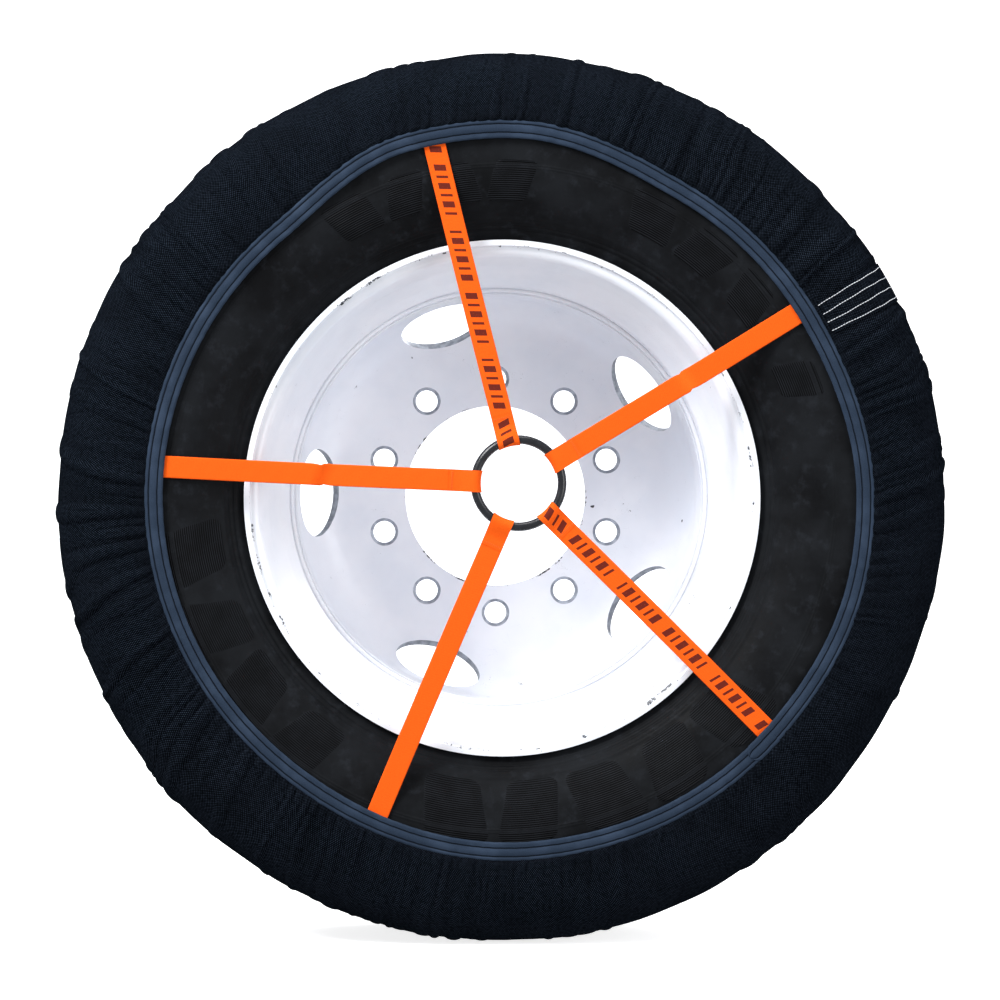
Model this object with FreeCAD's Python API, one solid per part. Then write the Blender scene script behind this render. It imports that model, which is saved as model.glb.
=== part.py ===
# Snow sock fitted over a truck tyre on a steel disc wheel.
#
# Frame: millimetres. The wheel axis is Y and the street side of the wheel faces -Y; +Z is up and +X is to the right
# as the street side is seen. The origin is on the hub bore's axis, on the disc's mounting face.

import FreeCAD, Part

import math
import os

from FreeCAD import Vector

# ---------------------------------------------------------------- wheel
BEAD_RADIUS = 285.75        # nominal bead seat radius of a 22.5 inch rim
RIM_WIDTH = 209.55          # between the flanges' inner faces, 8.25 inch
RIM_OFFSET = 167.6          # rim centre plane to the disc's mounting face
RIM_WALL = 6.5
FLANGE_HEIGHT = 12.7
FLANGE_DEPTH = 12.0         # how far the flange curls outwards
FLANGE_BEND = 8.8
HEEL_BEND = 5.0
SEAT_ANGLE = 15.0
SEAT_LENGTH = 32.4          # along the axis
WELL_DEPTH = 31.25          # nominal bead seat down to the well floor
WELL_FRONT_INSET = 87.375  # front flange's inner face back to the well floor
WELL_BACK_INSET = 49.175   # back flange's inner face forward to the well floor
RAMP_DROP = 21.75           # of the bead seat's nominal radius at the middle of the front ramp
RAMP_INSET = 67.375        # front flange's inner face back to the kink in the ramp
HUB_BORE_RADIUS = 110.05
DISC_WALL = 11.0
LIP_WALL = 7.0
BOWL_BEND = 58.0            # inside bend between the disc's flat and its lip
LIP_DEPTH = 150.0           # mounting face to the lip's front edge
WELD_LEG = 6.0
BOLT_CIRCLE = 285.75
BOLT_COUNT = 10
BOLT_HOLE_RADIUS = 13.375
BOLT_FIRST_ANGLE = 18.0
HAND_HOLE_COUNT = 5
HAND_HOLE_LENGTH = 106.6    # around the wheel
HAND_HOLE_WIDTH = 60.0      # up the bowl
HAND_HOLE_FIRST_ANGLE = 35.0
HAND_HOLE_TILT = 36.0       # of the punched hole's axis from the wheel axis
HAND_HOLE_INSET = 27.0      # hole centre inside the lip's outer radius

# ---------------------------------------------------------------- valve
VALVE_ANGLE = 71.0
VALVE_PLACE = 0.6           # up the well's back wall, as a share of it
VALVE_HOLE_RADIUS = 4.85
VALVE_STEM_RADIUS = 3.9
VALVE_PASSAGE_RADIUS = 1.3
VALVE_BASE_RADIUS = 9.0
VALVE_BASE_HEIGHT = 3.0
GROMMET_RADIUS = 8.5
GROMMET_HEIGHT = 3.0
NUT_FLATS = 13.0
NUT_HEIGHT = 6.0
NUT_LIFT = 0.15             # the flat nut bridges the round wall's hollow
NUT_TO_BEND = 2.5
VALVE_BEND = 14.0
VALVE_TIP_LENGTH = 31.0
CORE_RADIUS = 2.6
CORE_LENGTH = 21.0
CORE_RECESS = 1.0           # core's end below the stem's end
PIN_RADIUS = 0.8
PIN_CLEARANCE = 0.09
PIN_BELOW_CORE = 1.8
CAP_RADIUS = 5.4
CAP_LENGTH = 14.0
CAP_TOP_WALL = 1.6
CAP_CLEARANCE = 0.3

# ---------------------------------------------------------------- tyre
TYRE_RADIUS = 507.0
SECTION_WIDTH = 289.0
TREAD_WIDTH = 236.0
CROWN_RISE = 10.8           # tread's middle above its shoulders
CROWN_BEND = 800.0
SHOULDER_BEND = 18.0
SIDEWALL_LOW_BEND = 110.0
SIDEWALL_HIGH_BEND = 150.0
SIDEWALL_WALL = 13.0        # sidewall, ply and liner together
TREAD_WALL = 26.0           # tread, belts, ply and liner together
BEAD_FOOT = 32.8            # width of the bead's foot on its seat
LINER_WALL = 2.0
PLY_WALL = 2.5
BELT_WALL = 4.0
BELT_WIDTH = 204.0
GROOVE_WIDTH = 11.0
GROOVE_DEPTH = 14.0
GROOVE_PITCH = 48.0
GROOVE_COUNT = 4
BEAD_WIRE_RADIUS = 7.5
BEAD_WIRE_INSET = 12.5      # bundle's centre from the flange face
BEAD_WIRE_RISE = 7.6        # bundle's centre above the nominal bead radius
FILLER_HEIGHT = 52.0
FILLER_WIDTH = 12.0
CHAFER_WALL = 3.2           # rubber between the seat and the ply's end

# ---------------------------------------------------------------- sock
FABRIC = 2.4
SOCK_GAP_TREAD = 6.2        # slack of the fabric over the tread
SOCK_GAP_SHOULDER = 6.5
SOCK_GAP_SIDE = 2.0
SHOULDER_FABRIC_BEND = 26.0
PANEL_WIDTH = 240.0         # tread panel, between its two shoulder seams
OUTER_EDGE_RADIUS = 391.0   # street-side opening
INNER_EDGE_RADIUS = 414.0   # vehicle-side opening
BINDING_WIDTH = 21.0
BINDING_WALL = 1.0
FABRIC_IN_BINDING = 7.0     # how far the panel's edge reaches into the folded tape
ELASTIC_GAP = 0.3
OUTER_BINDING_STANDOFF = 3.1  # street-side tape clear of the sidewall, for the straps under it
INNER_BINDING_STANDOFF = 1.2
SEAM_ANGLE = 29.3           # middle of the closing seam
SEAM_SPAN = 5.4             # degrees round the wheel
SEAM_WALL = 1.2
STITCH_ANGLES = (27.0, 28.5, 30.0, 31.5)
STITCH_SPAN = 0.11          # one thread's width, degrees round the wheel
STITCH_RISE = 0.6
BINDING_STITCH_INSETS = (4.6, 14.3)  # from the tape's outer edge
THREAD_WIDTH = 1.0

# ---------------------------------------------------------------- straps and ring
STRAP_WIDTH = 25.0
STRAP_WALL = 1.5
STRAP_ANGLES = (103.96, 31.4, 177.3, 246.9, 315.1)  # from the ring's centre
STRAP_TUCK = 14.0           # strap under the binding tape
RING_RADIUS = 50.0          # middle of the section
RING_SECTION = 5.0
RING_SHIFT_X = 17.4         # the straps pull the ring off the wheel axis
RING_SHIFT_Z = 17.6
LOOP_CLEARANCE = 0.3
LOOP_FLAT = 2.0             # flat of the loop past the ring's middle
LOOP_CLOSE = 18.0           # where the strap's two layers meet, from the ring's middle
TAIL_LENGTH = 30.0          # end of the folded tail, from the ring's middle
TACK_LENGTH = 19.0          # bar tack across the tail
TACK_WIDTH = 1.4
TACK_RISE = 0.4
TACK_INSET = 4.0

# ---------------------------------------------------------------- derived places
FRONT = Vector(0, -1, 0)
AXIS = Vector(0, 1, 0)
SEAT_SLOPE = math.tan(math.radians(SEAT_ANGLE))
WELL_RADIUS = BEAD_RADIUS - WELL_DEPTH
LIP_RADIUS = WELL_RADIUS - RIM_WALL
FLANGE_RADIUS = BEAD_RADIUS + FLANGE_HEIGHT
HALF_RIM = RIM_WIDTH / 2
SEAT_END_RADIUS = BEAD_RADIUS - SEAT_LENGTH * SEAT_SLOPE
HALF_SECTION = SECTION_WIDTH / 2
HALF_TREAD = TREAD_WIDTH / 2
SHOULDER_RADIUS = TYRE_RADIUS - CROWN_RISE + 2.8
CROWN_CORNER_RADIUS = TYRE_RADIUS + 3.3
TYRE_HEIGHT = TYRE_RADIUS - BEAD_RADIUS
LOW_BULGE_RADIUS = BEAD_RADIUS + 0.29 * TYRE_HEIGHT
HIGH_BULGE_RADIUS = BEAD_RADIUS + 0.742 * TYRE_HEIGHT
LOOP_INNER = RING_SECTION + LOOP_CLEARANCE
LOOP_OUTER = LOOP_INNER + STRAP_WALL
STRAP_FRONT = HALF_SECTION + OUTER_BINDING_STANDOFF
STRAP_PLANE = STRAP_FRONT - STRAP_WALL / 2
RING_SPOT = Vector(RING_SHIFT_X, -RIM_OFFSET - STRAP_PLANE, RING_SHIFT_Z)


# ---------------------------------------------------------------- helpers
def across(width):
    """Y of a plane that lies width ahead of the rim's centre plane, towards the street."""
    return -RIM_OFFSET - width


def segment(start, end):
    return Part.LineSegment(start, end).toShape()


def tangent_path(corners):
    """Edges of a section path through (radius, y, bend) corners, each inner corner turned by a tangent arc."""
    points = [Vector(radius, y, 0) for radius, y, _ in corners]
    edges = []
    start = points[0]
    for here, before, after, corner in zip(points[1:], points, points[2:], corners[1:]):
        back = (before - here).normalize()
        on = (after - here).normalize()
        half = back.getAngle(on) / 2
        reach = corner[2] / math.tan(half)
        peak = corner[2] / math.sin(half) - corner[2]
        bend_start = here + back * reach
        bend_end = here + on * reach
        middle = here + (back + on).normalize() * peak
        edges.append(segment(start, bend_start))
        edges.append(Part.Arc(bend_start, middle, bend_end).toShape())
        start = bend_end
    edges.append(segment(start, points[-1]))
    return edges


def shifted(corners, distance):
    """The same path moved sideways: inwards, towards the axis and the tyre's air space, where distance is positive."""
    rails = []
    for (radius_a, y_a, _), (radius_b, y_b, _) in zip(corners, corners[1:]):
        along = Vector(radius_b - radius_a, y_b - y_a, 0).normalize()
        side = Vector(-along.y, along.x, 0) * distance
        rails.append((Vector(radius_a, y_a, 0) + side, along, Vector(radius_b, y_b, 0) + side))
    moved = [(rails[0][0].x, rails[0][0].y, 0)]
    for (point_a, along_a, _), (point_b, along_b, _), corner in zip(rails, rails[1:], corners[1:]):
        turn = along_a.x * along_b.y - along_a.y * along_b.x
        gap = point_b - point_a
        travel = (gap.x * along_b.y - gap.y * along_b.x) / turn
        meet = point_a + along_a * travel
        bend = corner[2] - math.copysign(distance, turn)
        moved.append((meet.x, meet.y, bend))
    moved.append((rails[-1][2].x, rails[-1][2].y, 0))
    return moved


def band(corners, near, far):
    """Face between a path shifted by near and the same path shifted by far."""
    first = tangent_path(shifted(corners, near))
    second = tangent_path(shifted(corners, far))
    start_cap = segment(first[0].Vertexes[0].Point, second[0].Vertexes[0].Point)
    end_cap = segment(first[-1].Vertexes[-1].Point, second[-1].Vertexes[-1].Point)
    return Part.Face(Part.Wire(Part.__sortEdges__(first + [end_cap] + second + [start_cap])))


def polygon(points):
    """Plane face through (radius, y) points."""
    ring = [Vector(radius, y, 0) for radius, y in points]
    return Part.Face(Part.makePolygon(ring + ring[:1]))


def spun(face, span=360.0, angle=0.0):
    """Section face turned about the wheel axis over span degrees, centred on angle when it isn't a whole turn."""
    solid = face.revolve(Vector(0, 0, 0), FRONT, span)
    if span < 360.0:
        solid.rotate(Vector(0, 0, 0), FRONT, angle - span / 2)
    return solid


def mirrored_corners(half):
    """A whole section path from its front half, given as (radius, width, bend) with the crown corner last."""
    front = [(radius, across(width), bend) for radius, width, bend in half]
    back = [(radius, across(-width), bend) for radius, width, bend in reversed(half[:-1])]
    return front + back


def save(name, shape):
    """One STEP file for one node; several pieces become separate solids in it."""
    solids = shape.Solids
    whole = solids[0] if len(solids) == 1 else Part.makeCompound(solids)
    whole.exportStep(os.path.join("parts", name + ".step"))


# ---------------------------------------------------------------- wheel pieces
def rim_corners():
    """Tyre side of the rolled rim, from the front flange's edge to the back flange's edge."""
    return [
        (FLANGE_RADIUS, across(HALF_RIM + FLANGE_DEPTH), 0),
        (FLANGE_RADIUS, across(HALF_RIM), FLANGE_BEND),
        (BEAD_RADIUS, across(HALF_RIM), HEEL_BEND),
        (SEAT_END_RADIUS, across(HALF_RIM - SEAT_LENGTH), 20),
        (BEAD_RADIUS - RAMP_DROP, across(HALF_RIM - RAMP_INSET), 25),
        (WELL_RADIUS, across(HALF_RIM - WELL_FRONT_INSET), 15),
        (WELL_RADIUS, across(WELL_BACK_INSET - HALF_RIM), 6),
        (SEAT_END_RADIUS, across(SEAT_LENGTH - HALF_RIM), 10),
        (BEAD_RADIUS, across(-HALF_RIM), HEEL_BEND),
        (FLANGE_RADIUS, across(-HALF_RIM), FLANGE_BEND),
        (FLANGE_RADIUS, across(-HALF_RIM - FLANGE_DEPTH), 0),
    ]


def valve_seat():
    """Valve's spot on the tyre side of the well's back wall, and the wall's direction away from the air space."""
    low = Vector(WELL_RADIUS, across(WELL_BACK_INSET - HALF_RIM), 0)
    high = Vector(SEAT_END_RADIUS, across(SEAT_LENGTH - HALF_RIM), 0)
    along = (high - low).normalize()
    return low + (high - low) * VALVE_PLACE, Vector(-along.y, along.x, 0)


def at_valve(shape):
    """Turns a piece built at three o'clock to the valve's place round the wheel."""
    return shape.rotated(Vector(0, 0, 0), FRONT, VALVE_ANGLE)


def wheel_rim():
    rim = spun(band(rim_corners(), 0, RIM_WALL))
    seat, away = valve_seat()
    hole = Part.makeCylinder(VALVE_HOLE_RADIUS, 4 * RIM_WALL, seat - away * RIM_WALL, away)
    return rim.cut(at_valve(hole))


def disc_section():
    """Flat, bowl and cylindrical lip of the pressed disc."""
    back_bend = BOWL_BEND + LIP_WALL + 1
    front = tangent_path([
        (HUB_BORE_RADIUS, -DISC_WALL, 0),
        (LIP_RADIUS - LIP_WALL, -DISC_WALL, BOWL_BEND),
        (LIP_RADIUS - LIP_WALL, -LIP_DEPTH, 0),
    ])
    back = tangent_path([
        (LIP_RADIUS, -LIP_DEPTH, 0),
        (LIP_RADIUS, 0, back_bend),
        (HUB_BORE_RADIUS, 0, 0),
    ])
    lip_edge = segment(Vector(LIP_RADIUS - LIP_WALL, -LIP_DEPTH, 0), Vector(LIP_RADIUS, -LIP_DEPTH, 0))
    bore = segment(Vector(HUB_BORE_RADIUS, 0, 0), Vector(HUB_BORE_RADIUS, -DISC_WALL, 0))
    return Part.Face(Part.Wire(Part.__sortEdges__(front + [lip_edge] + back + [bore])))


def hand_hole():
    """Oval punch through the bowl at three o'clock, square to the bowl's slope."""
    tilt = math.radians(HAND_HOLE_TILT)
    drop = BOWL_BEND * (1 - math.cos(tilt))
    centre = Vector(LIP_RADIUS - HAND_HOLE_INSET, -DISC_WALL - drop, 0)
    outwards = Vector(math.sin(tilt), math.cos(tilt), 0)
    oval = Part.Ellipse()
    oval.MajorRadius = HAND_HOLE_LENGTH / 2
    oval.MinorRadius = HAND_HOLE_WIDTH / 2
    punch = Part.Face(Part.Wire(oval.toShape())).extrude(Vector(0, 0, 140))
    turn = FreeCAD.Rotation(Vector(0, 0, 1), Vector(1, 0, 0), outwards, "ZXY")
    punch.Placement = FreeCAD.Placement(centre - outwards * 70, turn)
    return punch


def wheel_disc():
    disc = spun(disc_section())
    cuts = []
    for index in range(BOLT_COUNT):
        angle = math.radians(BOLT_FIRST_ANGLE + index * 360.0 / BOLT_COUNT)
        place = Vector(BOLT_CIRCLE / 2 * math.cos(angle), -2 * DISC_WALL, BOLT_CIRCLE / 2 * math.sin(angle))
        cuts.append(Part.makeCylinder(BOLT_HOLE_RADIUS, 4 * DISC_WALL, place, AXIS))
    punch = hand_hole()
    for index in range(HAND_HOLE_COUNT):
        angle = HAND_HOLE_FIRST_ANGLE + index * 360.0 / HAND_HOLE_COUNT
        cuts.append(punch.rotated(Vector(0, 0, 0), FRONT, angle))
    return disc.cut(cuts)


def disc_weld():
    """Fillet weld that runs round the lip's front edge."""
    return spun(polygon([
        (LIP_RADIUS, -LIP_DEPTH),
        (LIP_RADIUS, -LIP_DEPTH - WELD_LEG),
        (LIP_RADIUS - WELD_LEG, -LIP_DEPTH),
    ]))


# ---------------------------------------------------------------- valve pieces
def valve_line():
    """Key points of the bent stem: the bend's start and centre, and the tip's start and end."""
    seat, away = valve_seat()
    bend_start = seat + away * (RIM_WALL + NUT_HEIGHT + NUT_TO_BEND)
    outwards = Vector(away.y, -away.x, 0)
    centre = bend_start + outwards * VALVE_BEND
    tip_start = centre - Vector(VALVE_BEND, 0, 0)
    tip_end = tip_start + AXIS * VALVE_TIP_LENGTH
    return seat, away, bend_start, centre, tip_start, tip_end


def bent_rod(radius, start_back):
    """Round rod along the stem's line, from start_back before the seat to the tip's end."""
    seat, away, bend_start, centre, tip_start, tip_end = valve_line()
    start = seat - away * start_back
    shank = Part.makeCylinder(radius, start.distanceToPoint(bend_start), start, away)
    tip = Part.makeCylinder(radius, VALVE_TIP_LENGTH, tip_start, AXIS)
    turn = math.degrees(away.getAngle(AXIS))
    ring = Part.Face(Part.Wire(Part.makeCircle(radius, tip_start, AXIS)))
    elbow = ring.revolve(centre, Vector(0, 0, 1), turn)
    return shank.fuse([elbow, tip]).removeSplitter()


def valve_stem():
    seat, away, _, _, _, tip_end = valve_line()
    below = GROMMET_HEIGHT + VALVE_BASE_HEIGHT
    base = Part.makeCylinder(VALVE_BASE_RADIUS, VALVE_BASE_HEIGHT, seat - away * below, away)
    stem = bent_rod(VALVE_STEM_RADIUS, GROMMET_HEIGHT).fuse(base)
    pocket_start = tip_end - AXIS * (CORE_LENGTH + CORE_RECESS)
    pocket = Part.makeCylinder(CORE_RADIUS, CORE_LENGTH + 2 * CORE_RECESS, pocket_start, AXIS)
    passage = bent_rod(VALVE_PASSAGE_RADIUS, below + 1)
    return at_valve(stem.cut(passage).cut(pocket).removeSplitter())


def valve_grommet():
    """Rubber seal under the stem's base, with a sleeve in the rim's valve hole."""
    seat, away, _, _, _, _ = valve_line()
    disc = Part.makeCylinder(GROMMET_RADIUS, GROMMET_HEIGHT, seat - away * GROMMET_HEIGHT, away)
    sleeve = Part.makeCylinder(VALVE_HOLE_RADIUS, RIM_WALL, seat, away)
    hole = Part.makeCylinder(VALVE_STEM_RADIUS, 4 * RIM_WALL, seat - away * RIM_WALL, away)
    return at_valve(disc.fuse(sleeve).cut(hole).removeSplitter())


def valve_nut():
    seat, away, _, _, _, _ = valve_line()
    start = seat + away * (RIM_WALL + NUT_LIFT)
    corner = NUT_FLATS / math.sqrt(3)
    ring = []
    for index in range(7):
        angle = math.radians(60 * index)
        ring.append(Vector(corner * math.cos(angle), corner * math.sin(angle), 0))
    nut = Part.Face(Part.makePolygon(ring)).extrude(Vector(0, 0, NUT_HEIGHT))
    nut.Placement = FreeCAD.Placement(start, FreeCAD.Rotation(Vector(0, 0, 1), away))
    bore = Part.makeCylinder(VALVE_STEM_RADIUS, 3 * NUT_HEIGHT, start - away * NUT_HEIGHT, away)
    return at_valve(nut.cut(bore))


def valve_core():
    """Screw-in core that fills the stem's pocket round the pin."""
    tip_end = valve_line()[-1]
    start = tip_end - AXIS * (CORE_LENGTH + CORE_RECESS)
    core = Part.makeCylinder(CORE_RADIUS, CORE_LENGTH, start, AXIS)
    bore = Part.makeCylinder(PIN_RADIUS + PIN_CLEARANCE, 3 * CORE_LENGTH, start - AXIS * CORE_LENGTH, AXIS)
    return at_valve(core.cut(bore))


def valve_pin():
    tip_end = valve_line()[-1]
    length = CORE_LENGTH + CORE_RECESS + PIN_BELOW_CORE
    return at_valve(Part.makeCylinder(PIN_RADIUS, length, tip_end - AXIS * length, AXIS))


def valve_cap():
    tip_end = valve_line()[-1]
    reach = CAP_LENGTH - CAP_TOP_WALL - CAP_CLEARANCE
    start = tip_end - AXIS * reach
    cap = Part.makeCylinder(CAP_RADIUS, CAP_LENGTH, start, AXIS)
    hollow = Part.makeCylinder(VALVE_STEM_RADIUS + CAP_CLEARANCE, CAP_LENGTH - CAP_TOP_WALL, start, AXIS)
    return at_valve(cap.cut(hollow))


# ---------------------------------------------------------------- tyre pieces
def tyre_outline():
    """Outside of the tyre from bead toe to bead toe, following the rim's seats and flanges."""
    toe_radius = BEAD_RADIUS - BEAD_FOOT * SEAT_SLOPE
    return mirrored_corners([
        (toe_radius, HALF_RIM - BEAD_FOOT, 0),
        (BEAD_RADIUS, HALF_RIM, HEEL_BEND),
        (BEAD_RADIUS + FLANGE_HEIGHT / 2, HALF_RIM, 6),
        (FLANGE_RADIUS + 5, HALF_RIM + 5.7, 40),
        (LOW_BULGE_RADIUS, HALF_SECTION, SIDEWALL_LOW_BEND),
        (HIGH_BULGE_RADIUS, HALF_SECTION, SIDEWALL_HIGH_BEND),
        (SHOULDER_RADIUS, HALF_TREAD, SHOULDER_BEND),
        (CROWN_CORNER_RADIUS, 0, CROWN_BEND),
    ])


def cavity_outline():
    """Inside of the tyre from bead toe to bead toe."""
    toe_radius = BEAD_RADIUS - BEAD_FOOT * SEAT_SLOPE
    half_cavity = HALF_SECTION - SIDEWALL_WALL
    return mirrored_corners([
        (toe_radius, HALF_RIM - BEAD_FOOT, 0),
        (BEAD_RADIUS + 14, HALF_RIM - BEAD_FOOT + 6, 30),
        (LOW_BULGE_RADIUS + 2, half_cavity, 80),
        (HIGH_BULGE_RADIUS - 4, half_cavity, 70),
        (SHOULDER_RADIUS - 21, HALF_TREAD - 7, 20),
        (CROWN_CORNER_RADIUS - TREAD_WALL - 2, 0, 700),
    ])


def tyre_section():
    edges = tangent_path(tyre_outline()) + tangent_path(cavity_outline())
    return Part.Face(Part.Wire(Part.__sortEdges__(edges)))


def chafer_zone():
    """Strip along both bead seats that the plies stop short of."""
    strips = []
    for side in (1, -1):
        toe = HALF_RIM - BEAD_FOOT
        low = BEAD_RADIUS - BEAD_FOOT * SEAT_SLOPE
        strips.append(polygon([
            (low - 9, across(side * (toe - 10))),
            (BEAD_RADIUS - 9, across(side * (HALF_RIM + 10))),
            (BEAD_RADIUS + CHAFER_WALL + 3, across(side * (HALF_RIM + 10))),
            (low + CHAFER_WALL - 3, across(side * (toe - 10))),
        ]))
    return strips


def bead_wire_section(side):
    middle = Vector(BEAD_RADIUS + BEAD_WIRE_RISE, across(side * (HALF_RIM - BEAD_WIRE_INSET)), 0)
    points = []
    for index in range(6):
        angle = math.radians(60 * index + side * SEAT_ANGLE)
        points.append((middle.x + BEAD_WIRE_RADIUS * math.cos(angle), middle.y + BEAD_WIRE_RADIUS * math.sin(angle)))
    return polygon(points)


def filler_section(side):
    """Hard rubber wedge that stands on the bead wire, up to the lower sidewall."""
    foot = BEAD_RADIUS + BEAD_WIRE_RISE + BEAD_WIRE_RADIUS / 2
    middle = HALF_RIM - BEAD_WIRE_INSET
    tip_width = HALF_SECTION - SIDEWALL_WALL + LINER_WALL + PLY_WALL + 1
    return polygon([
        (foot, across(side * (middle - FILLER_WIDTH / 2))),
        (foot, across(side * (middle + FILLER_WIDTH / 2))),
        (foot + FILLER_HEIGHT, across(side * tip_width)),
    ])


def tread_grooves():
    cuts = []
    first = -GROOVE_PITCH * (GROOVE_COUNT - 1) / 2
    for index in range(GROOVE_COUNT):
        middle = first + index * GROOVE_PITCH
        cuts.append(polygon([
            (TYRE_RADIUS - GROOVE_DEPTH, across(middle - GROOVE_WIDTH / 2)),
            (TYRE_RADIUS + GROOVE_DEPTH, across(middle - GROOVE_WIDTH / 2)),
            (TYRE_RADIUS + GROOVE_DEPTH, across(middle + GROOVE_WIDTH / 2)),
            (TYRE_RADIUS - GROOVE_DEPTH, across(middle + GROOVE_WIDTH / 2)),
        ]))
    return cuts


def upright_box(low, high, half_width):
    """Section rectangle from radius low to radius high, across the whole tyre."""
    return polygon([
        (low, across(half_width)),
        (high, across(half_width)),
        (high, across(-half_width)),
        (low, across(-half_width)),
    ])


def tyre_pieces():
    """Every layer of the tyre as (name, section face), cut from one another so that they fit face to face."""
    section = tyre_section()
    cavity = cavity_outline()
    chafer = chafer_zone()
    liner_out = -LINER_WALL
    ply_out = liner_out - PLY_WALL
    liner = band(cavity, 0, liner_out).cut(chafer)
    ply = band(cavity, liner_out, ply_out).cut(chafer)
    belt_zone = upright_box(HIGH_BULGE_RADIUS, TYRE_RADIUS, BELT_WIDTH / 2)
    belts = band(cavity, ply_out, ply_out - BELT_WALL).common(belt_zone)
    wires = {1: bead_wire_section(1), -1: bead_wire_section(-1)}
    fillers = {}
    for side, wire in wires.items():
        air = band(cavity, 60, 0)
        fillers[side] = filler_section(side).cut([wire, ply, liner, air])
    inner_layers = [liner, ply, belts] + list(wires.values()) + list(fillers.values())
    tread_zone = upright_box(SHOULDER_RADIUS - 23, TYRE_RADIUS + 40, SECTION_WIDTH)
    rubber = section.cut(inner_layers)
    tread = rubber.common(tread_zone).cut(tread_grooves())
    sides = rubber.cut(tread_zone)
    street = upright_box(0, TYRE_RADIUS, SECTION_WIDTH).common(polygon([
        (0, across(0)),
        (TYRE_RADIUS, across(0)),
        (TYRE_RADIUS, across(SECTION_WIDTH)),
        (0, across(SECTION_WIDTH)),
    ]))
    return [
        ("tyre_tread", tread),
        ("outer_sidewall", sides.common(street)),
        ("inner_sidewall", sides.cut(street)),
        ("casing_ply", ply),
        ("steel_belts", belts),
        ("inner_liner", liner),
        ("outer_bead_wire", wires[1]),
        ("inner_bead_wire", wires[-1]),
        ("outer_bead_filler", fillers[1]),
        ("inner_bead_filler", fillers[-1]),
    ]


# ---------------------------------------------------------------- sock pieces
def sock_corners():
    """Tyre side of the sock's cloth, from the street-side edge to the vehicle-side edge."""
    outer_cloth = HALF_SECTION + OUTER_BINDING_STANDOFF + BINDING_WALL
    inner_cloth = HALF_SECTION + INNER_BINDING_STANDOFF + BINDING_WALL
    outer_start = OUTER_EDGE_RADIUS + BINDING_WIDTH - FABRIC_IN_BINDING
    inner_start = INNER_EDGE_RADIUS + BINDING_WIDTH - FABRIC_IN_BINDING
    bulge = HIGH_BULGE_RADIUS + 4
    shoulder = SHOULDER_RADIUS + SOCK_GAP_SHOULDER
    shoulder_width = HALF_TREAD + SOCK_GAP_SHOULDER
    return [
        (outer_start, across(outer_cloth), 0),
        (OUTER_EDGE_RADIUS + BINDING_WIDTH + 4, across(outer_cloth), 30),
        (bulge, across(HALF_SECTION + SOCK_GAP_SIDE), 60),
        (shoulder, across(shoulder_width), SHOULDER_FABRIC_BEND),
        (CROWN_CORNER_RADIUS + SOCK_GAP_TREAD - 1, across(0), CROWN_BEND),
        (shoulder, across(-shoulder_width), SHOULDER_FABRIC_BEND),
        (bulge, across(-HALF_SECTION - SOCK_GAP_SIDE), 30),
        (INNER_EDGE_RADIUS + BINDING_WIDTH + 3, across(-inner_cloth), 20),
        (inner_start, across(-inner_cloth), 0),
    ]


def sock_panels():
    """Street-side, tread and vehicle-side cloth, met face to face at the two shoulder seams."""
    cloth = band(sock_corners(), 0, -FABRIC)
    tread_zone = upright_box(OUTER_EDGE_RADIUS, 2 * TYRE_RADIUS, PANEL_WIDTH / 2)
    tread = cloth.common(tread_zone)
    street = polygon([
        (0, across(0)),
        (2 * TYRE_RADIUS, across(0)),
        (2 * TYRE_RADIUS, across(SECTION_WIDTH)),
        (0, across(SECTION_WIDTH)),
    ])
    sides = cloth.cut(tread_zone)
    return [
        ("tread_fabric", spun(tread)),
        ("outer_side_fabric", spun(sides.common(street))),
        ("inner_side_fabric", spun(sides.cut(street))),
    ]


def tape_section(edge_radius, cloth_plane, side):
    """Tape folded over a panel's edge, closed at its inner radius. cloth_plane is the cloth's tyre side."""
    outer = edge_radius + BINDING_WIDTH
    back = cloth_plane - BINDING_WALL
    front = cloth_plane + FABRIC + BINDING_WALL
    tape = polygon([
        (edge_radius, across(side * back)),
        (outer, across(side * back)),
        (outer, across(side * front)),
        (edge_radius, across(side * front)),
    ])
    slot = polygon([
        (edge_radius + BINDING_WALL, across(side * cloth_plane)),
        (outer + 1, across(side * cloth_plane)),
        (outer + 1, across(side * (cloth_plane + FABRIC))),
        (edge_radius + BINDING_WALL, across(side * (cloth_plane + FABRIC))),
    ])
    return tape.cut(slot)


def elastic_section(edge_radius, cloth_plane, side):
    """Flat elastic inside the folded tape, between its fold and the panel's edge."""
    low = edge_radius + BINDING_WALL + ELASTIC_GAP
    high = edge_radius + BINDING_WIDTH - FABRIC_IN_BINDING - ELASTIC_GAP
    return polygon([
        (low, across(side * cloth_plane)),
        (high, across(side * cloth_plane)),
        (high, across(side * (cloth_plane + FABRIC))),
        (low, across(side * (cloth_plane + FABRIC))),
    ])


def bindings():
    outer_cloth = HALF_SECTION + OUTER_BINDING_STANDOFF + BINDING_WALL
    inner_cloth = HALF_SECTION + INNER_BINDING_STANDOFF + BINDING_WALL
    return [
        ("outer_binding", spun(tape_section(OUTER_EDGE_RADIUS, outer_cloth, 1))),
        ("outer_elastic", spun(elastic_section(OUTER_EDGE_RADIUS, outer_cloth, 1))),
        ("inner_binding", spun(tape_section(INNER_EDGE_RADIUS, inner_cloth, -1))),
        ("inner_elastic", spun(elastic_section(INNER_EDGE_RADIUS, inner_cloth, -1))),
    ]


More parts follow.
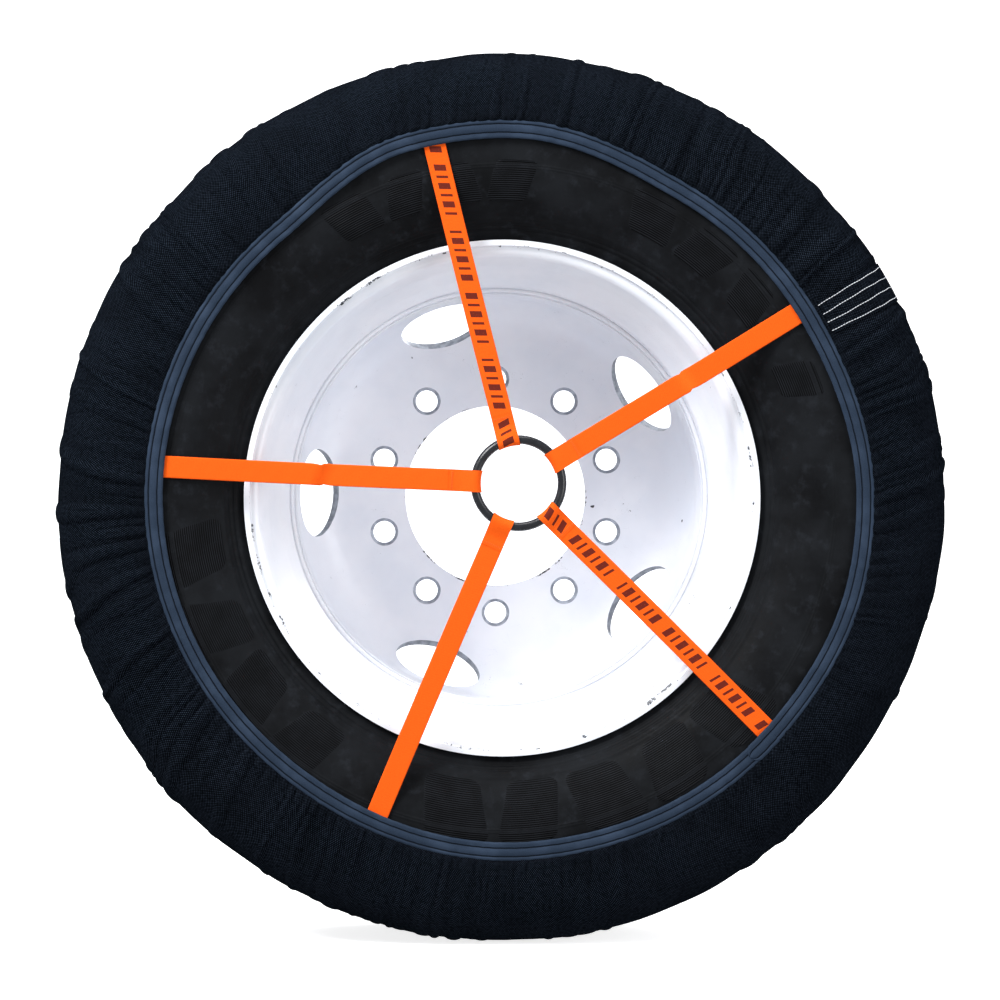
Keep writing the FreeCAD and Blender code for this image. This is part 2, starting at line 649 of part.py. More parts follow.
def binding_stitches():
    """Two rows of thread on the street side of the tape."""
    face_plane = HALF_SECTION + OUTER_BINDING_STANDOFF + 2 * BINDING_WALL + FABRIC
    rows = []
    for inset in BINDING_STITCH_INSETS:
        middle = OUTER_EDGE_RADIUS + BINDING_WIDTH - inset
        rows.append(spun(polygon([
            (middle - THREAD_WIDTH / 2, across(face_plane)),
            (middle + THREAD_WIDTH / 2, across(face_plane)),
            (middle + THREAD_WIDTH / 2, across(face_plane + STITCH_RISE)),
            (middle - THREAD_WIDTH / 2, across(face_plane + STITCH_RISE)),
        ])))
    return Part.makeCompound(rows)


def seam_zone():
    """Where the closing seam's second layer lies: clear of both binding tapes."""
    outer_low = OUTER_EDGE_RADIUS + BINDING_WIDTH + 1
    inner_low = INNER_EDGE_RADIUS + BINDING_WIDTH + 1
    return polygon([
        (outer_low, across(SECTION_WIDTH)),
        (2 * TYRE_RADIUS, across(SECTION_WIDTH)),
        (2 * TYRE_RADIUS, across(-SECTION_WIDTH)),
        (inner_low, across(-SECTION_WIDTH)),
        (inner_low, across(0)),
        (outer_low, across(0)),
    ])


def closing_seam():
    """Overlap of the cloth's two ends, laid over the panels from one binding to the other."""
    layer = band(sock_corners(), -FABRIC, -FABRIC - SEAM_WALL).common(seam_zone())
    return spun(layer, SEAM_SPAN, SEAM_ANGLE)


def seam_stitches():
    """Four rows of thread along the overlap."""
    thread = band(sock_corners(), -FABRIC - SEAM_WALL, -FABRIC - SEAM_WALL - STITCH_RISE).common(seam_zone())
    return Part.makeCompound([spun(thread, STITCH_SPAN, angle) for angle in STITCH_ANGLES])


# ---------------------------------------------------------------- straps and ring
def along_strap(shape, angle):
    """Puts a piece built along +X from the ring's centre, in the strap's own plane, at its strap's angle."""
    turned = shape.rotated(Vector(0, 0, 0), FRONT, angle)
    return turned.translated(RING_SPOT)


def strap_reach(angle):
    """Length from the ring's centre, along a strap, to the strap's end under the binding."""
    end_radius = OUTER_EDGE_RADIUS + STRAP_TUCK
    way = Vector(math.cos(math.radians(angle)), 0, math.sin(math.radians(angle)))
    shift = Vector(RING_SHIFT_X, 0, RING_SHIFT_Z)
    lean = way.dot(shift)
    return math.sqrt(lean * lean + end_radius * end_radius - shift.dot(shift)) - lean


def strap(angle):
    """Flat elastic from the end of its sewn loop to its tuck under the binding."""
    start = RING_RADIUS + TAIL_LENGTH
    corner = Vector(start, -STRAP_WALL / 2, -STRAP_WIDTH / 2)
    flat = Part.makeBox(strap_reach(angle) - start, STRAP_WALL, STRAP_WIDTH, corner)
    return along_strap(flat, angle)


def loop_leaves():
    """The strap's two layers from the ring's middle to the end of the sewn tail."""
    outside = [
        (RING_RADIUS - LOOP_OUTER, LOOP_OUTER),
        (RING_RADIUS + LOOP_FLAT, LOOP_OUTER),
        (RING_RADIUS + LOOP_CLOSE, STRAP_WALL),
        (RING_RADIUS + TAIL_LENGTH, STRAP_WALL),
    ]
    inside = [
        (RING_RADIUS - LOOP_OUTER, LOOP_INNER),
        (RING_RADIUS + LOOP_FLAT - 0.4, LOOP_INNER),
        (RING_RADIUS + LOOP_CLOSE - STRAP_WALL, 0),
    ]
    outline = outside + [(along, -rise) for along, rise in reversed(outside)]
    hollow = inside + [(along, -rise) for along, rise in reversed(inside[:-1])]
    leaves = polygon(outline).cut(polygon(hollow))
    block = leaves.extrude(Vector(0, 0, STRAP_WIDTH))
    return block.translated(Vector(0, 0, -STRAP_WIDTH / 2))


def strap_loop(angle):
    """Strap end folded round the ring and sewn back on itself."""
    core = Part.makeCylinder(RING_RADIUS, 4 * LOOP_OUTER, Vector(0, -2 * LOOP_OUTER, 0), AXIS)
    shell = Part.makeTorus(RING_RADIUS, LOOP_OUTER, Vector(0, 0, 0), AXIS)
    shell = shell.cut(Part.makeTorus(RING_RADIUS, LOOP_INNER, Vector(0, 0, 0), AXIS))
    corner = Vector(RING_RADIUS / 2, -2 * LOOP_OUTER, -STRAP_WIDTH / 2)
    width = Part.makeBox(RING_RADIUS, 4 * LOOP_OUTER, STRAP_WIDTH, corner)
    inner_half = shell.common(core).common(width)
    leaves = loop_leaves().cut(core)
    return along_strap(inner_half.fuse(leaves).removeSplitter(), angle)


def loop_stitches():
    """A bar tack across each folded tail."""
    tacks = []
    for angle in STRAP_ANGLES:
        start = RING_RADIUS + TAIL_LENGTH - TACK_INSET
        corner = Vector(start, -STRAP_WALL - TACK_RISE, -TACK_LENGTH / 2)
        tacks.append(along_strap(Part.makeBox(TACK_WIDTH, TACK_RISE, TACK_LENGTH, corner), angle))
    return Part.makeCompound(tacks)


def centre_ring():
    return Part.makeTorus(RING_RADIUS, RING_SECTION, RING_SPOT, AXIS)


# ---------------------------------------------------------------- output
def main():
    os.makedirs("parts", exist_ok=True)
    save("wheel_rim", wheel_rim())
    save("wheel_disc", wheel_disc())
    save("disc_weld", disc_weld())
    save("valve_stem", valve_stem())
    save("valve_grommet", valve_grommet())
    save("valve_nut", valve_nut())
    save("valve_core", valve_core())
    save("valve_pin", valve_pin())
    save("valve_cap", valve_cap())
    for name, section in tyre_pieces():
        save(name, spun(section))
    for name, solid in sock_panels() + bindings():
        save(name, solid)
    save("binding_stitches", binding_stitches())
    save("closing_seam", closing_seam())
    save("seam_stitches", seam_stitches())
    for number, angle in enumerate(STRAP_ANGLES, start=1):
        save("strap_%d" % number, strap(angle))
        save("strap_loop_%d" % number, strap_loop(angle))
    save("loop_stitches", loop_stitches())
    save("centre_ring", centre_ring())


main()
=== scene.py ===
"""Snow sock on a truck wheel: the looks. Metres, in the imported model's own frame: wheel axis along Y, street side
to -Y."""

import math

import bmesh
import bpy
import numpy as np
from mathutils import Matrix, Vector


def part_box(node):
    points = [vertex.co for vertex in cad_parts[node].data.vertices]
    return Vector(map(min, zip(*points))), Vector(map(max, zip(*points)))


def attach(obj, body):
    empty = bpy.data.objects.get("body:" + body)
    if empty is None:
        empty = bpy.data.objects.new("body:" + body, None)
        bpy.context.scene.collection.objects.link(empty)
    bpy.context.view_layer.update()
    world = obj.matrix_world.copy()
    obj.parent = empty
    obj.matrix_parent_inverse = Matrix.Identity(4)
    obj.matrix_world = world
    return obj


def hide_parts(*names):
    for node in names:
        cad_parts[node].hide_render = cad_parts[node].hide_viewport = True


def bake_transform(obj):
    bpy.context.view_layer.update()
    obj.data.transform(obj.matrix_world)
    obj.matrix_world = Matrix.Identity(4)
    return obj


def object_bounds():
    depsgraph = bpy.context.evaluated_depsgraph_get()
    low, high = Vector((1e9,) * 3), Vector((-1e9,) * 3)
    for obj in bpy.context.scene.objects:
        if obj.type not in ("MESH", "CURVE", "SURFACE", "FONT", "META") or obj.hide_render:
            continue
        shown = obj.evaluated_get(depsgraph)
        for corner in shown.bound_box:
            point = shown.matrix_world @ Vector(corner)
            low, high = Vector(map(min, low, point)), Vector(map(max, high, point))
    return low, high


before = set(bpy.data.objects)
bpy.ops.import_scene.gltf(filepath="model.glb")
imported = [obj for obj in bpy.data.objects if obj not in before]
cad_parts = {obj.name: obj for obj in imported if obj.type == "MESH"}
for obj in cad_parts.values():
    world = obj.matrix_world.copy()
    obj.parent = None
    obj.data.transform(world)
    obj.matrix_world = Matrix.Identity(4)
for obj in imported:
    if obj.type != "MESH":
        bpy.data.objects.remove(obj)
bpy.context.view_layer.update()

# ================================================================ camera
# A long lens a few metres away, slightly left of the wheel's axis and just above it. LENS is in millimetres,
# CAMERA_WAY in metres from the flange.
FLANGE_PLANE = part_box("wheel_rim")[0].y
LENS = 144.4
CAMERA_WAY = 4.63
camera_data = bpy.data.cameras.new("camera")
camera_data.sensor_width = 36.0
camera_data.lens = LENS
camera = bpy.data.objects.new("camera", camera_data)
bpy.context.scene.collection.objects.link(camera)
camera.location = (-0.147, FLANGE_PLANE - CAMERA_WAY, 0.052)
aim = Vector((-0.003, FLANGE_PLANE, -0.002))
camera.rotation_mode = "QUATERNION"
camera.rotation_quaternion = (aim - camera.location).to_track_quat("-Z", "Y")
bpy.context.scene.camera = camera


# ================================================================ stage
# A pale round studio: floor under the wheel, curving up into a wall and a ceiling on every side. It throws no
# shadow or reflection, so only the soft boxes and the room light shape the wheel.
def linear(hex_colour):
    """An sRGB colour such as #FF8000 as linear RGBA."""
    parts = [int(hex_colour[i : i + 2], 16) / 255 for i in (1, 3, 5)]
    return tuple(p / 12.92 if p <= 0.04045 else ((p + 0.055) / 1.055) ** 2.4 for p in parts) + (1.0,)


def add(tree, kind, links=None, **settings):
    """A new shader or geometry node: settings are its properties, and links its inputs by name or number, each as a
    value, another node's socket, or another node, which gives its first output."""
    made = tree.nodes.new(kind)
    for key, value in settings.items():
        setattr(made, key, value)
    for key, value in (links or {}).items():
        if isinstance(value, bpy.types.Node):
            value = value.outputs[0]
        if isinstance(value, bpy.types.NodeSocket):
            tree.links.new(value, made.inputs[key])
        else:
            made.inputs[key].default_value = value
    return made


def new_material(name):
    """An empty material as (material, node tree, principled shader)."""
    material = bpy.data.materials.new(name)
    material.use_nodes = True
    tree = material.node_tree
    tree.nodes.clear()
    shader = add(tree, "ShaderNodeBsdfPrincipled")
    add(tree, "ShaderNodeOutputMaterial", {"Surface": shader.outputs[0]})
    return material, tree, shader


def add_object(name, vertices, faces, materials, smooth=True):
    """A mesh object at the origin."""
    mesh = bpy.data.meshes.new(name)
    mesh.from_pydata([tuple(v) for v in vertices], [], [tuple(f) for f in faces])
    mesh.update()
    for material in materials:
        mesh.materials.append(material)
    if smooth:
        mesh.shade_smooth()
    made = bpy.data.objects.new(name, mesh)
    bpy.context.scene.collection.objects.link(made)
    return made


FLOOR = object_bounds()[0].z - 0.0015
ROOM_RADIUS = 9.0
ROOM_BEND = 2
ROOM_SIDES = 72
backdrop_material, tree, shader = new_material("paper backdrop, matte white")
shader.inputs["Base Color"].default_value = linear("#F4F5F7")
shader.inputs["Roughness"].default_value = 0.9
shader.inputs["Specular IOR Level"].default_value = 0.0
shader.inputs["Emission Color"].default_value = linear("#FFFFFF")
shader.inputs["Emission Strength"].default_value = 0.8
room_line = [(0.02, FLOOR), (ROOM_RADIUS - ROOM_BEND, FLOOR)]
for step in range(1, 25):
    turn = math.radians(180 * step / 24)
    room_line.append((ROOM_RADIUS - ROOM_BEND + ROOM_BEND * math.sin(turn), FLOOR + 4 * (1 - math.cos(turn))))
room_line.append((0.02, FLOOR + 8))
points = [(r * math.cos(a), r * math.sin(a), z) for a in np.radians(np.arange(0, 360, 5)) for r, z in room_line]
rows = len(room_line)
strips = [
    ((i * rows + k), i * rows + k + 1, (i + 1) % ROOM_SIDES * rows + k + 1, (i + 1) % ROOM_SIDES * rows + k)
    for i in range(ROOM_SIDES) for k in range(rows - 1)
]
strips += [tuple(i * rows for i in range(ROOM_SIDES)), tuple(i * rows + rows - 1 for i in range(ROOM_SIDES))]
backdrop = add_object("backdrop", points, strips, [backdrop_material], smooth=False)
backdrop.visible_diffuse = False
backdrop.visible_glossy = False
backdrop.visible_shadow = False


# ================================================================ lights
# Large soft boxes: a key from the upper left, weak fills from the right and overhead, one behind; and white room
# light.
def soft_box(name, place, size, power):
    data = bpy.data.lights.new(name, "AREA")
    data.shape = "RECTANGLE"
    data.size, data.size_y = size
    data.energy = power
    light = bpy.data.objects.new(name, data)
    light.location = place
    light.rotation_mode = "QUATERNION"
    light.rotation_quaternion = (Vector((0, -0.2, 0)) - Vector(place)).to_track_quat("-Z", "Y")
    bpy.context.scene.collection.objects.link(light)


soft_box("key_light", (-2.6, -2.5, 3.0), (1.6, 1.6), 265)
soft_box("fill_light", (3.2, -3.2, 0.4), (2.2, 2.8), 70)
soft_box("top_light", (0.2, -0.4, 3.2), (3.0, 1.6), 90)
soft_box("back_light", (2.2, 3.4, 2.2), (2.0, 2.0), 120)
world = bpy.data.worlds.new("room")
world.use_nodes = True
world.node_tree.nodes["Background"].inputs["Color"].default_value = linear("#FBFCFF")
world.node_tree.nodes["Background"].inputs["Strength"].default_value = 0.68
bpy.context.scene.world = world
bpy.context.scene.view_settings.view_transform = "Standard"

# ================================================================ wheel rim
# Drop-centre rim, rolled from one steel strip and welded. White enamel over primer gives a soft broad gloss;
# it is chipped to dark steel along the flange.
MM = 0.001
ROUND = 360


def smooth_path(points, per_span, closed=False):
    """A curve through the points (Catmull-Rom), with per_span steps between two of them, as an array."""
    p = np.array(points, float)
    before, after = np.roll(p, 1, 0), np.roll(p, -1, 0)
    slope = (after - before) / 2
    if not closed:
        slope[0], slope[-1] = p[1] - p[0], p[-1] - p[-2]
    t = np.linspace(0, 1, per_span, endpoint=False)[:, None]
    spans = []
    for i in range(len(p) if closed else len(p) - 1):
        a, b, da, db = p[i], p[(i + 1) % len(p)], slope[i], slope[(i + 1) % len(p)]
        spans.append((2 * t**3 - 3 * t**2 + 1) * a + (t**3 - 2 * t**2 + t) * da
                     + (3 * t**2 - 2 * t**3) * b + (t**3 - t**2) * db)
    if not closed:
        spans.append(p[-1:])
    return np.concatenate(spans)


def rounded(corners, steps=7):
    """Points along (radius, y, bend) corners in mm, each inner corner rounded by an arc of its bend."""
    line = [np.array(corners[0][:2], float)]
    for i in range(1, len(corners) - 1):
        here = np.array(corners[i][:2], float)
        back = np.array(corners[i - 1][:2]) - here
        on = np.array(corners[i + 1][:2]) - here
        back, on = back / np.linalg.norm(back), on / np.linalg.norm(on)
        half = math.acos(max(-1, min(1, float(back @ on)))) / 2
        reach = corners[i][2] / math.tan(half)
        inwards = (back + on) / np.linalg.norm(back + on)
        centre = here + inwards * (corners[i][2] / math.sin(half))
        start, end = here + back * reach - centre, here + on * reach - centre
        sweep = math.pi - 2 * half
        for step in range(steps + 1):
            t = step / steps
            line.append(centre + (start * math.sin((1 - t) * sweep) + end * math.sin(t * sweep)) / math.sin(sweep))
    line.append(np.array(corners[-1][:2], float))
    return np.array(line)


def offset_line(line, distance):
    """A (radius, y) line moved sideways, towards the axis where distance is positive."""
    slope = np.gradient(line, axis=0)
    slope /= np.linalg.norm(slope, axis=1)[:, None]
    return line + np.stack([-slope[:, 1], slope[:, 0]], 1) * distance


def lathe(name, outline, materials, closed=True, around=ROUND, wobble=None):
    """A (radius, y) outline in mm, turned about the wheel axis. wobble(angle, row) moves a point by (radius, y) in
    mm."""
    outline = np.asarray(outline, float)
    rows = len(outline)
    turn = np.linspace(0, 2 * np.pi, around, endpoint=False)
    radius = np.repeat(outline[:, 0][None], around, 0)
    depth = np.repeat(outline[:, 1][None], around, 0)
    if wobble is not None:
        more = wobble(turn[:, None], np.arange(rows)[None])
        radius, depth = radius + more[0], depth + more[1]
    vertices = np.stack(
        [radius * np.cos(turn)[:, None], depth, radius * np.sin(turn)[:, None]], -1
    ).reshape(-1, 3) * MM
    spans = rows if closed else rows - 1
    i, k = np.meshgrid(np.arange(around), np.arange(spans), indexing="ij")
    j, m = (i + 1) % around, (k + 1) % rows
    faces = np.stack([i * rows + k, i * rows + m, j * rows + m, j * rows + k], -1).reshape(-1, 4)
    return add_object(name, vertices, faces, materials)


def outwards(made):
    """Turns a closed mesh's faces outwards."""
    shape = bmesh.new()
    shape.from_mesh(made.data)
    bmesh.ops.recalc_face_normals(shape, faces=shape.faces)
    shape.to_mesh(made.data)
    shape.free()
    return made


def radius_of(tree):
    """Distance from the wheel axis, and the place on the piece, from object coordinates."""
    place = add(tree, "ShaderNodeTexCoord").outputs["Object"]
    split = add(tree, "ShaderNodeSeparateXYZ", {0: place})
    square = add(
        tree, "ShaderNodeMath",
        {
            0: add(tree, "ShaderNodeMath", {0: split.outputs[0], 1: 2.0}, operation="POWER"),
            1: add(tree, "ShaderNodeMath", {0: split.outputs[2], 1: 2.0}, operation="POWER")
        },
        operation="ADD"
    ).outputs[0]
    return add(tree, "ShaderNodeMath", {0: square}, operation="SQRT").outputs[0], place, split


def ring_band(tree, radius, middle, half):
    """1 on a circle of that radius, falling to 0 at half on either side."""
    away = add(
        tree, "ShaderNodeMath", {0: add(tree, "ShaderNodeMath", {0: radius, 1: middle}, operation="SUBTRACT")},
        operation="ABSOLUTE"
    ).outputs[0]
    return add(
        tree, "ShaderNodeMapRange", {"Value": away, "From Min": half, "From Max": half * 0.3},
        interpolation_type="SMOOTHSTEP"
    ).outputs[0]


def enamel(name, chip_rings):
    """White enamel on steel: faint blue-grey flow marks, dust, fine scratches, and chips down to dark steel near
    chip_rings."""
    material, tree, shader = new_material(name)
    radius, place, _ = radius_of(tree)
    cloud = add(
        tree, "ShaderNodeTexNoise", {"Vector": place, "Scale": 7.0, "Detail": 4.0, "Roughness": 0.6}
    ).outputs[0]
    tone = add(
        tree, "ShaderNodeMix",
        {
            0: add(
                tree, "ShaderNodeMapRange", {"Value": cloud, "From Min": 0.35, "From Max": 0.7},
                interpolation_type="SMOOTHSTEP"
            ),
            6: linear("#EBEEF4"), 7: linear("#DEE3EC")
        },
        data_type="RGBA"
    ).outputs[2]
    grain = add(
        tree, "ShaderNodeTexNoise", {"Vector": place, "Scale": 260.0, "Detail": 5.0, "Roughness": 0.7}
    ).outputs[0]
    coarse = add(
        tree, "ShaderNodeTexNoise", {"Vector": place, "Scale": 38.0, "Detail": 6.0, "Roughness": 0.72}
    ).outputs[0]
    worn = None
    for middle, half in chip_rings:
        band = ring_band(tree, radius, middle, half)
        worn = band if worn is None else add(
            tree, "ShaderNodeMath", {0: worn, 1: band}, operation="MAXIMUM"
        ).outputs[0]
    ragged = add(
        tree, "ShaderNodeMath",
        {
            0: add(tree, "ShaderNodeMath", {0: grain, 1: 0.5}, operation="MULTIPLY"),
            1: add(tree, "ShaderNodeMath", {0: coarse, 1: 0.9}, operation="MULTIPLY")
        },
        operation="ADD"
    ).outputs[0]
    chips = add(
        tree, "ShaderNodeMapRange",
        {
            "Value": add(
                tree, "ShaderNodeMath",
                {0: ragged, 1: add(tree, "ShaderNodeMath", {0: worn, 1: 0.13}, operation="MULTIPLY")}, operation="ADD"
            ),
            "From Min": 0.9, "From Max": 0.93
        },
        interpolation_type="SMOOTHSTEP"
    ).outputs[0]
    specks = add(
        tree, "ShaderNodeMapRange",
        {
            "Value": add(tree, "ShaderNodeTexNoise", {"Vector": place, "Scale": 55.0, "Detail": 2.0}),
            "From Min": 0.765, "From Max": 0.785
        },
        interpolation_type="SMOOTHSTEP"
    ).outputs[0]
    turned = add(
        tree, "ShaderNodeMapping", {"Vector": place, "Scale": (1.0, 9.0, 1.0), "Rotation": (0.3, 0.6, 0.2)}
    ).outputs[0]
    hair = add(
        tree, "ShaderNodeTexNoise", {"Vector": turned, "Scale": 24.0, "Detail": 3.0, "Distortion": 1.6}
    ).outputs[0]
    scratch = add(
        tree, "ShaderNodeMapRange",
        {
            "Value": add(
                tree, "ShaderNodeMath", {0: add(tree, "ShaderNodeMath", {0: hair, 1: 0.5}, operation="SUBTRACT")},
                operation="ABSOLUTE"
            ),
            "From Min": 0.0016, "From Max": 0.0006, "To Min": 0.0, "To Max": 0.35
        },
        interpolation_type="SMOOTHSTEP"
    ).outputs[0]
    scratch = add(
        tree, "ShaderNodeMath",
        {
            0: scratch,
            1: add(
                tree, "ShaderNodeMapRange", {"Value": coarse, "From Min": 0.5, "From Max": 0.62},
                interpolation_type="SMOOTHSTEP"
            )
        },
        operation="MULTIPLY"
    ).outputs[0]
    marks = add(
        tree, "ShaderNodeMath",
        {0: add(tree, "ShaderNodeMath", {0: chips, 1: specks}, operation="MAXIMUM"), 1: scratch}, operation="MAXIMUM"
    ).outputs[0]
    shader.inputs["Roughness"].default_value = 0.34
    shader.inputs["Coat Weight"].default_value = 0.15
    tree.links.new(
        add(tree, "ShaderNodeMix", {0: marks, 6: tone, 7: linear("#2A2F38")}, data_type="RGBA").outputs[2],
        shader.inputs["Base Color"]
    )
    height = add(
        tree, "ShaderNodeMath", {0: add(tree, "ShaderNodeMath", {0: cloud, 1: 0.4}, operation="MULTIPLY"), 1: marks},
        operation="SUBTRACT"
    ).outputs[0]
    bump = add(tree, "ShaderNodeBump", {"Height": height, "Strength": 0.25, "Distance": 0.0004})
    tree.links.new(bump.outputs[0], shader.inputs["Normal"])
    return material


rim_low, rim_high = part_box("wheel_rim")
rim_front, rim_back = rim_low.y / MM, rim_high.y / MM
FLANGE_RADIUS = 298.45
BEAD_RADIUS = 285.75
RIM_WALL = 6.5
rim_enamel = enamel("white enamel on rolled steel, chipped at the flange", [(0.2915, 0.0028)])
tyre_side = rounded([
    (FLANGE_RADIUS, rim_front, 0),
    (FLANGE_RADIUS, rim_front + 12, 8.8),
    (BEAD_RADIUS, rim_front + 12, 5),
    (277.07, rim_front + 44.4, 20),
    (264.0, rim_front + 79.4, 25),
    (254.5, rim_front + 99.4, 15),
    (254.5, rim_back - 61.2, 6),
    (277.07, rim_back - 44.4, 10),
    (BEAD_RADIUS, rim_back - 12, 5),
    (FLANGE_RADIUS, rim_back - 12, 8.8),
    (FLANGE_RADIUS, rim_back, 0),
])
axis_side = offset_line(tyre_side, RIM_WALL)
wheel_rim = outwards(lathe("rim", np.concatenate([tyre_side, axis_side[::-1]]), [rim_enamel]))
edge = wheel_rim.modifiers.new("rolled edge", "BEVEL")
edge.width, edge.segments, edge.limit_method, edge.angle_limit = 1.2 * MM, 3, "ANGLE", math.radians(50)
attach(wheel_rim, "wheel")
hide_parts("wheel_rim")

# ================================================================ wheel disc
# Pressed steel disc: flat with a pilot bore and ten bolt holes, then a bowl with five punched hand holes. The same
# enamel, with the hole walls painted grey as painted shade. Sizes in the punches are metres.
disc_low, disc_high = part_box("wheel_disc")
LIP_RADIUS = disc_high.x / MM
LIP_EDGE = disc_low.y / MM
BORE_RADIUS = 110.05
DISC_WALL = 11.0
BOWL_BEND = 58
LIP_WALL = 7.0
disc_front = rounded([
    (BORE_RADIUS, -DISC_WALL, 0),
    (LIP_RADIUS - LIP_WALL, -DISC_WALL, BOWL_BEND),
    (LIP_RADIUS - LIP_WALL, LIP_EDGE, 0),
], steps=24)
disc_back = rounded([
    (LIP_RADIUS, LIP_EDGE, 0),
    (LIP_RADIUS, 0, 66),
    (BORE_RADIUS, 0, 0),
], steps=24)
disc_enamel = enamel("white enamel on pressed steel, worn at the bore", [(0.1108, 0.0016)])
# The walls of the bolt and hand holes are grey, lightly mottled: this is painted shade on the walls.
hole_wall_shade, tree, shader = new_material("steel hole wall, grey as painted shade")
_, place, _ = radius_of(tree)
wall_shade_mottle = add(tree, "ShaderNodeTexNoise", {"Vector": place, "Scale": 140.0, "Detail": 4.0}).outputs[0]
tree.links.new(
    add(
        tree, "ShaderNodeMix",
        {
            0: add(
                tree, "ShaderNodeMapRange", {"Value": wall_shade_mottle, "From Min": 0.35, "From Max": 0.65},
                interpolation_type="SMOOTHSTEP"
            ),
            6: linear("#8B919C"), 7: linear("#B4BAC5")
        },
        data_type="RGBA"
    ).outputs[2],
    shader.inputs["Base Color"]
)
shader.inputs["Metallic"].default_value = 0.15
shader.inputs["Roughness"].default_value = 0.5
wheel_disc = outwards(lathe("disc", np.concatenate([disc_front, disc_back]), [disc_enamel, hole_wall_shade]))


def drill(name, radius, long_half, start, direction, across_way, stations=((0.0, 0.0), (0.14, 0.0))):
    """A round or oval punch: half sizes radius and long_half, along direction from start. stations are (way,
    growth)."""
    along, wide = Vector(direction).normalized(), Vector(across_way).normalized()
    up = along.cross(wide)
    steps = 72
    rim_points = []
    for end, growth in stations:
        for k in range(steps):
            turn = 2 * math.pi * k / steps
            rim_points.append(Vector(start) + along * end + wide * ((long_half + growth) * math.cos(turn))
                              + up * ((radius + growth) * math.sin(turn)))
    faces = []
    for i in range(len(stations) - 1):
        a = i * steps
        faces += [(a + k, a + (k + 1) % steps, a + steps + (k + 1) % steps, a + steps + k) for k in range(steps)]
    faces += [tuple(range(steps))[::-1], tuple(range((len(stations) - 1) * steps, len(stations) * steps))]
    return outwards(add_object(name, rim_points, faces, [hole_wall_shade]))


BOLT_CIRCLE_RADIUS = 0.142875
BOLT_HOLE_RADIUS = 0.013375
HAND_HOLE_HALF = (0.030, 0.0533)
punches = []
for index in range(10):
    turn = math.radians(18 + 36 * index)
    spot = (BOLT_CIRCLE_RADIUS * math.cos(turn), -DISC_WALL * MM - 0.02, BOLT_CIRCLE_RADIUS * math.sin(turn))
    countersink = ((0.0, 0.0235), (0.0205, 0.0030), (0.0235, 0.0), (0.06, 0.0))
    punches.append(drill("bolt_punch", BOLT_HOLE_RADIUS, BOLT_HOLE_RADIUS, spot, (0, 1, 0), (1, 0, 0), countersink))
TILT = math.radians(36)
HOLE_RADIUS = (LIP_RADIUS - 27) * MM
hole_depth = -(DISC_WALL + BOWL_BEND * (1 - math.cos(TILT))) * MM
for index in range(5):
    turn = math.radians(35 + 72 * index)
    outward = Vector((math.cos(turn), 0, math.sin(turn)))
    around_way = Vector((-math.sin(turn), 0, math.cos(turn)))
    way = outward * math.sin(TILT) + Vector((0, math.cos(TILT), 0))
    centre = outward * HOLE_RADIUS + Vector((0, hole_depth, 0))
    punches.append(drill("hand_punch", *HAND_HOLE_HALF, centre - way * 0.07, way, around_way))
for punch in punches:
    cut = wheel_disc.modifiers.new("punch", "BOOLEAN")
    cut.object = punch
    cut.solver = "EXACT"
    cut.material_mode = "TRANSFER"
soften = wheel_disc.modifiers.new("edges", "BEVEL")
soften.width, soften.segments, soften.limit_method, soften.angle_limit = 0.9 * MM, 2, "ANGLE", math.radians(40)


def plain(made):
    """Replaces an object's mesh by what its modifiers make of it."""
    depsgraph = bpy.context.evaluated_depsgraph_get()
    mesh = bpy.data.meshes.new_from_object(made.evaluated_get(depsgraph))
    made.modifiers.clear()
    made.data = mesh
    return made


def close_up(made):
    """Merges doubled points and fills the slits that drilling leaves in a wall."""
    shell = bmesh.new()
    shell.from_mesh(made.data)
    bmesh.ops.remove_doubles(shell, verts=shell.verts, dist=0.002 * MM)
    bmesh.ops.holes_fill(shell, edges=[edge for edge in shell.edges if edge.is_boundary], sides=8)
    bmesh.ops.recalc_face_normals(shell, faces=shell.faces)
    shell.to_mesh(made.data)
    shell.free()


plain(wheel_disc)
close_up(wheel_disc)
wheel_disc.data.shade_smooth()
wheel_disc.data.set_sharp_from_angle(angle=math.radians(38))
for punch in punches:
    bpy.data.objects.remove(punch)
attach(wheel_disc, "wheel")
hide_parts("wheel_disc")

# The fillet weld between the disc's lip and the rim's well: a rippled bead under the same enamel.
weld_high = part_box("disc_weld")[1]
WELD_BACK = weld_high.y / MM
weld_line = [
    (LIP_RADIUS, WELD_BACK), (LIP_RADIUS, WELD_BACK - 6), (LIP_RADIUS - 3.4, WELD_BACK - 4.2),
    (LIP_RADIUS - 6, WELD_BACK)
]


def weld_ripple(turn, row):
    """Overlapping weld puddles, on the bead's free face only."""
    puddle = 0.45 * np.abs(np.sin(turn * 190)) * np.isin(row, [2])
    return -puddle, -puddle


disc_weld = outwards(lathe("weld_bead", weld_line, [disc_enamel], around=1440, wobble=weld_ripple))
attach(disc_weld, "wheel")
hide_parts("disc_weld")

# ================================================================ valve
# Nickelled brass stem, nut, core and pin, clamped through the rim behind the disc. The grommet and the cap share
# one moulded black finish.
nickel, tree, shader = new_material("nickelled brass, machined")
_, place, _ = radius_of(tree)
turned = add(tree, "ShaderNodeTexNoise", {"Vector": place, "Scale": 900.0, "Detail": 2.0}).outputs[0]
shader.inputs["Base Color"].default_value = linear("#B9AA86")
shader.inputs["Metallic"].default_value = 1.0
shader.inputs["Roughness"].default_value = 0.32
bump = add(tree, "ShaderNodeBump", {"Height": turned, "Strength": 0.15, "Distance": 0.0001})
tree.links.new(bump.outputs[0], shader.inputs["Normal"])
black_plastic, tree, shader = new_material("black nylon, moulded")
_, place, split = radius_of(tree)
moulded = add(tree, "ShaderNodeTexNoise", {"Vector": place, "Scale": 600.0, "Detail": 3.0}).outputs[0]
shader.inputs["Base Color"].default_value = linear("#17181A")
shader.inputs["Roughness"].default_value = 0.48
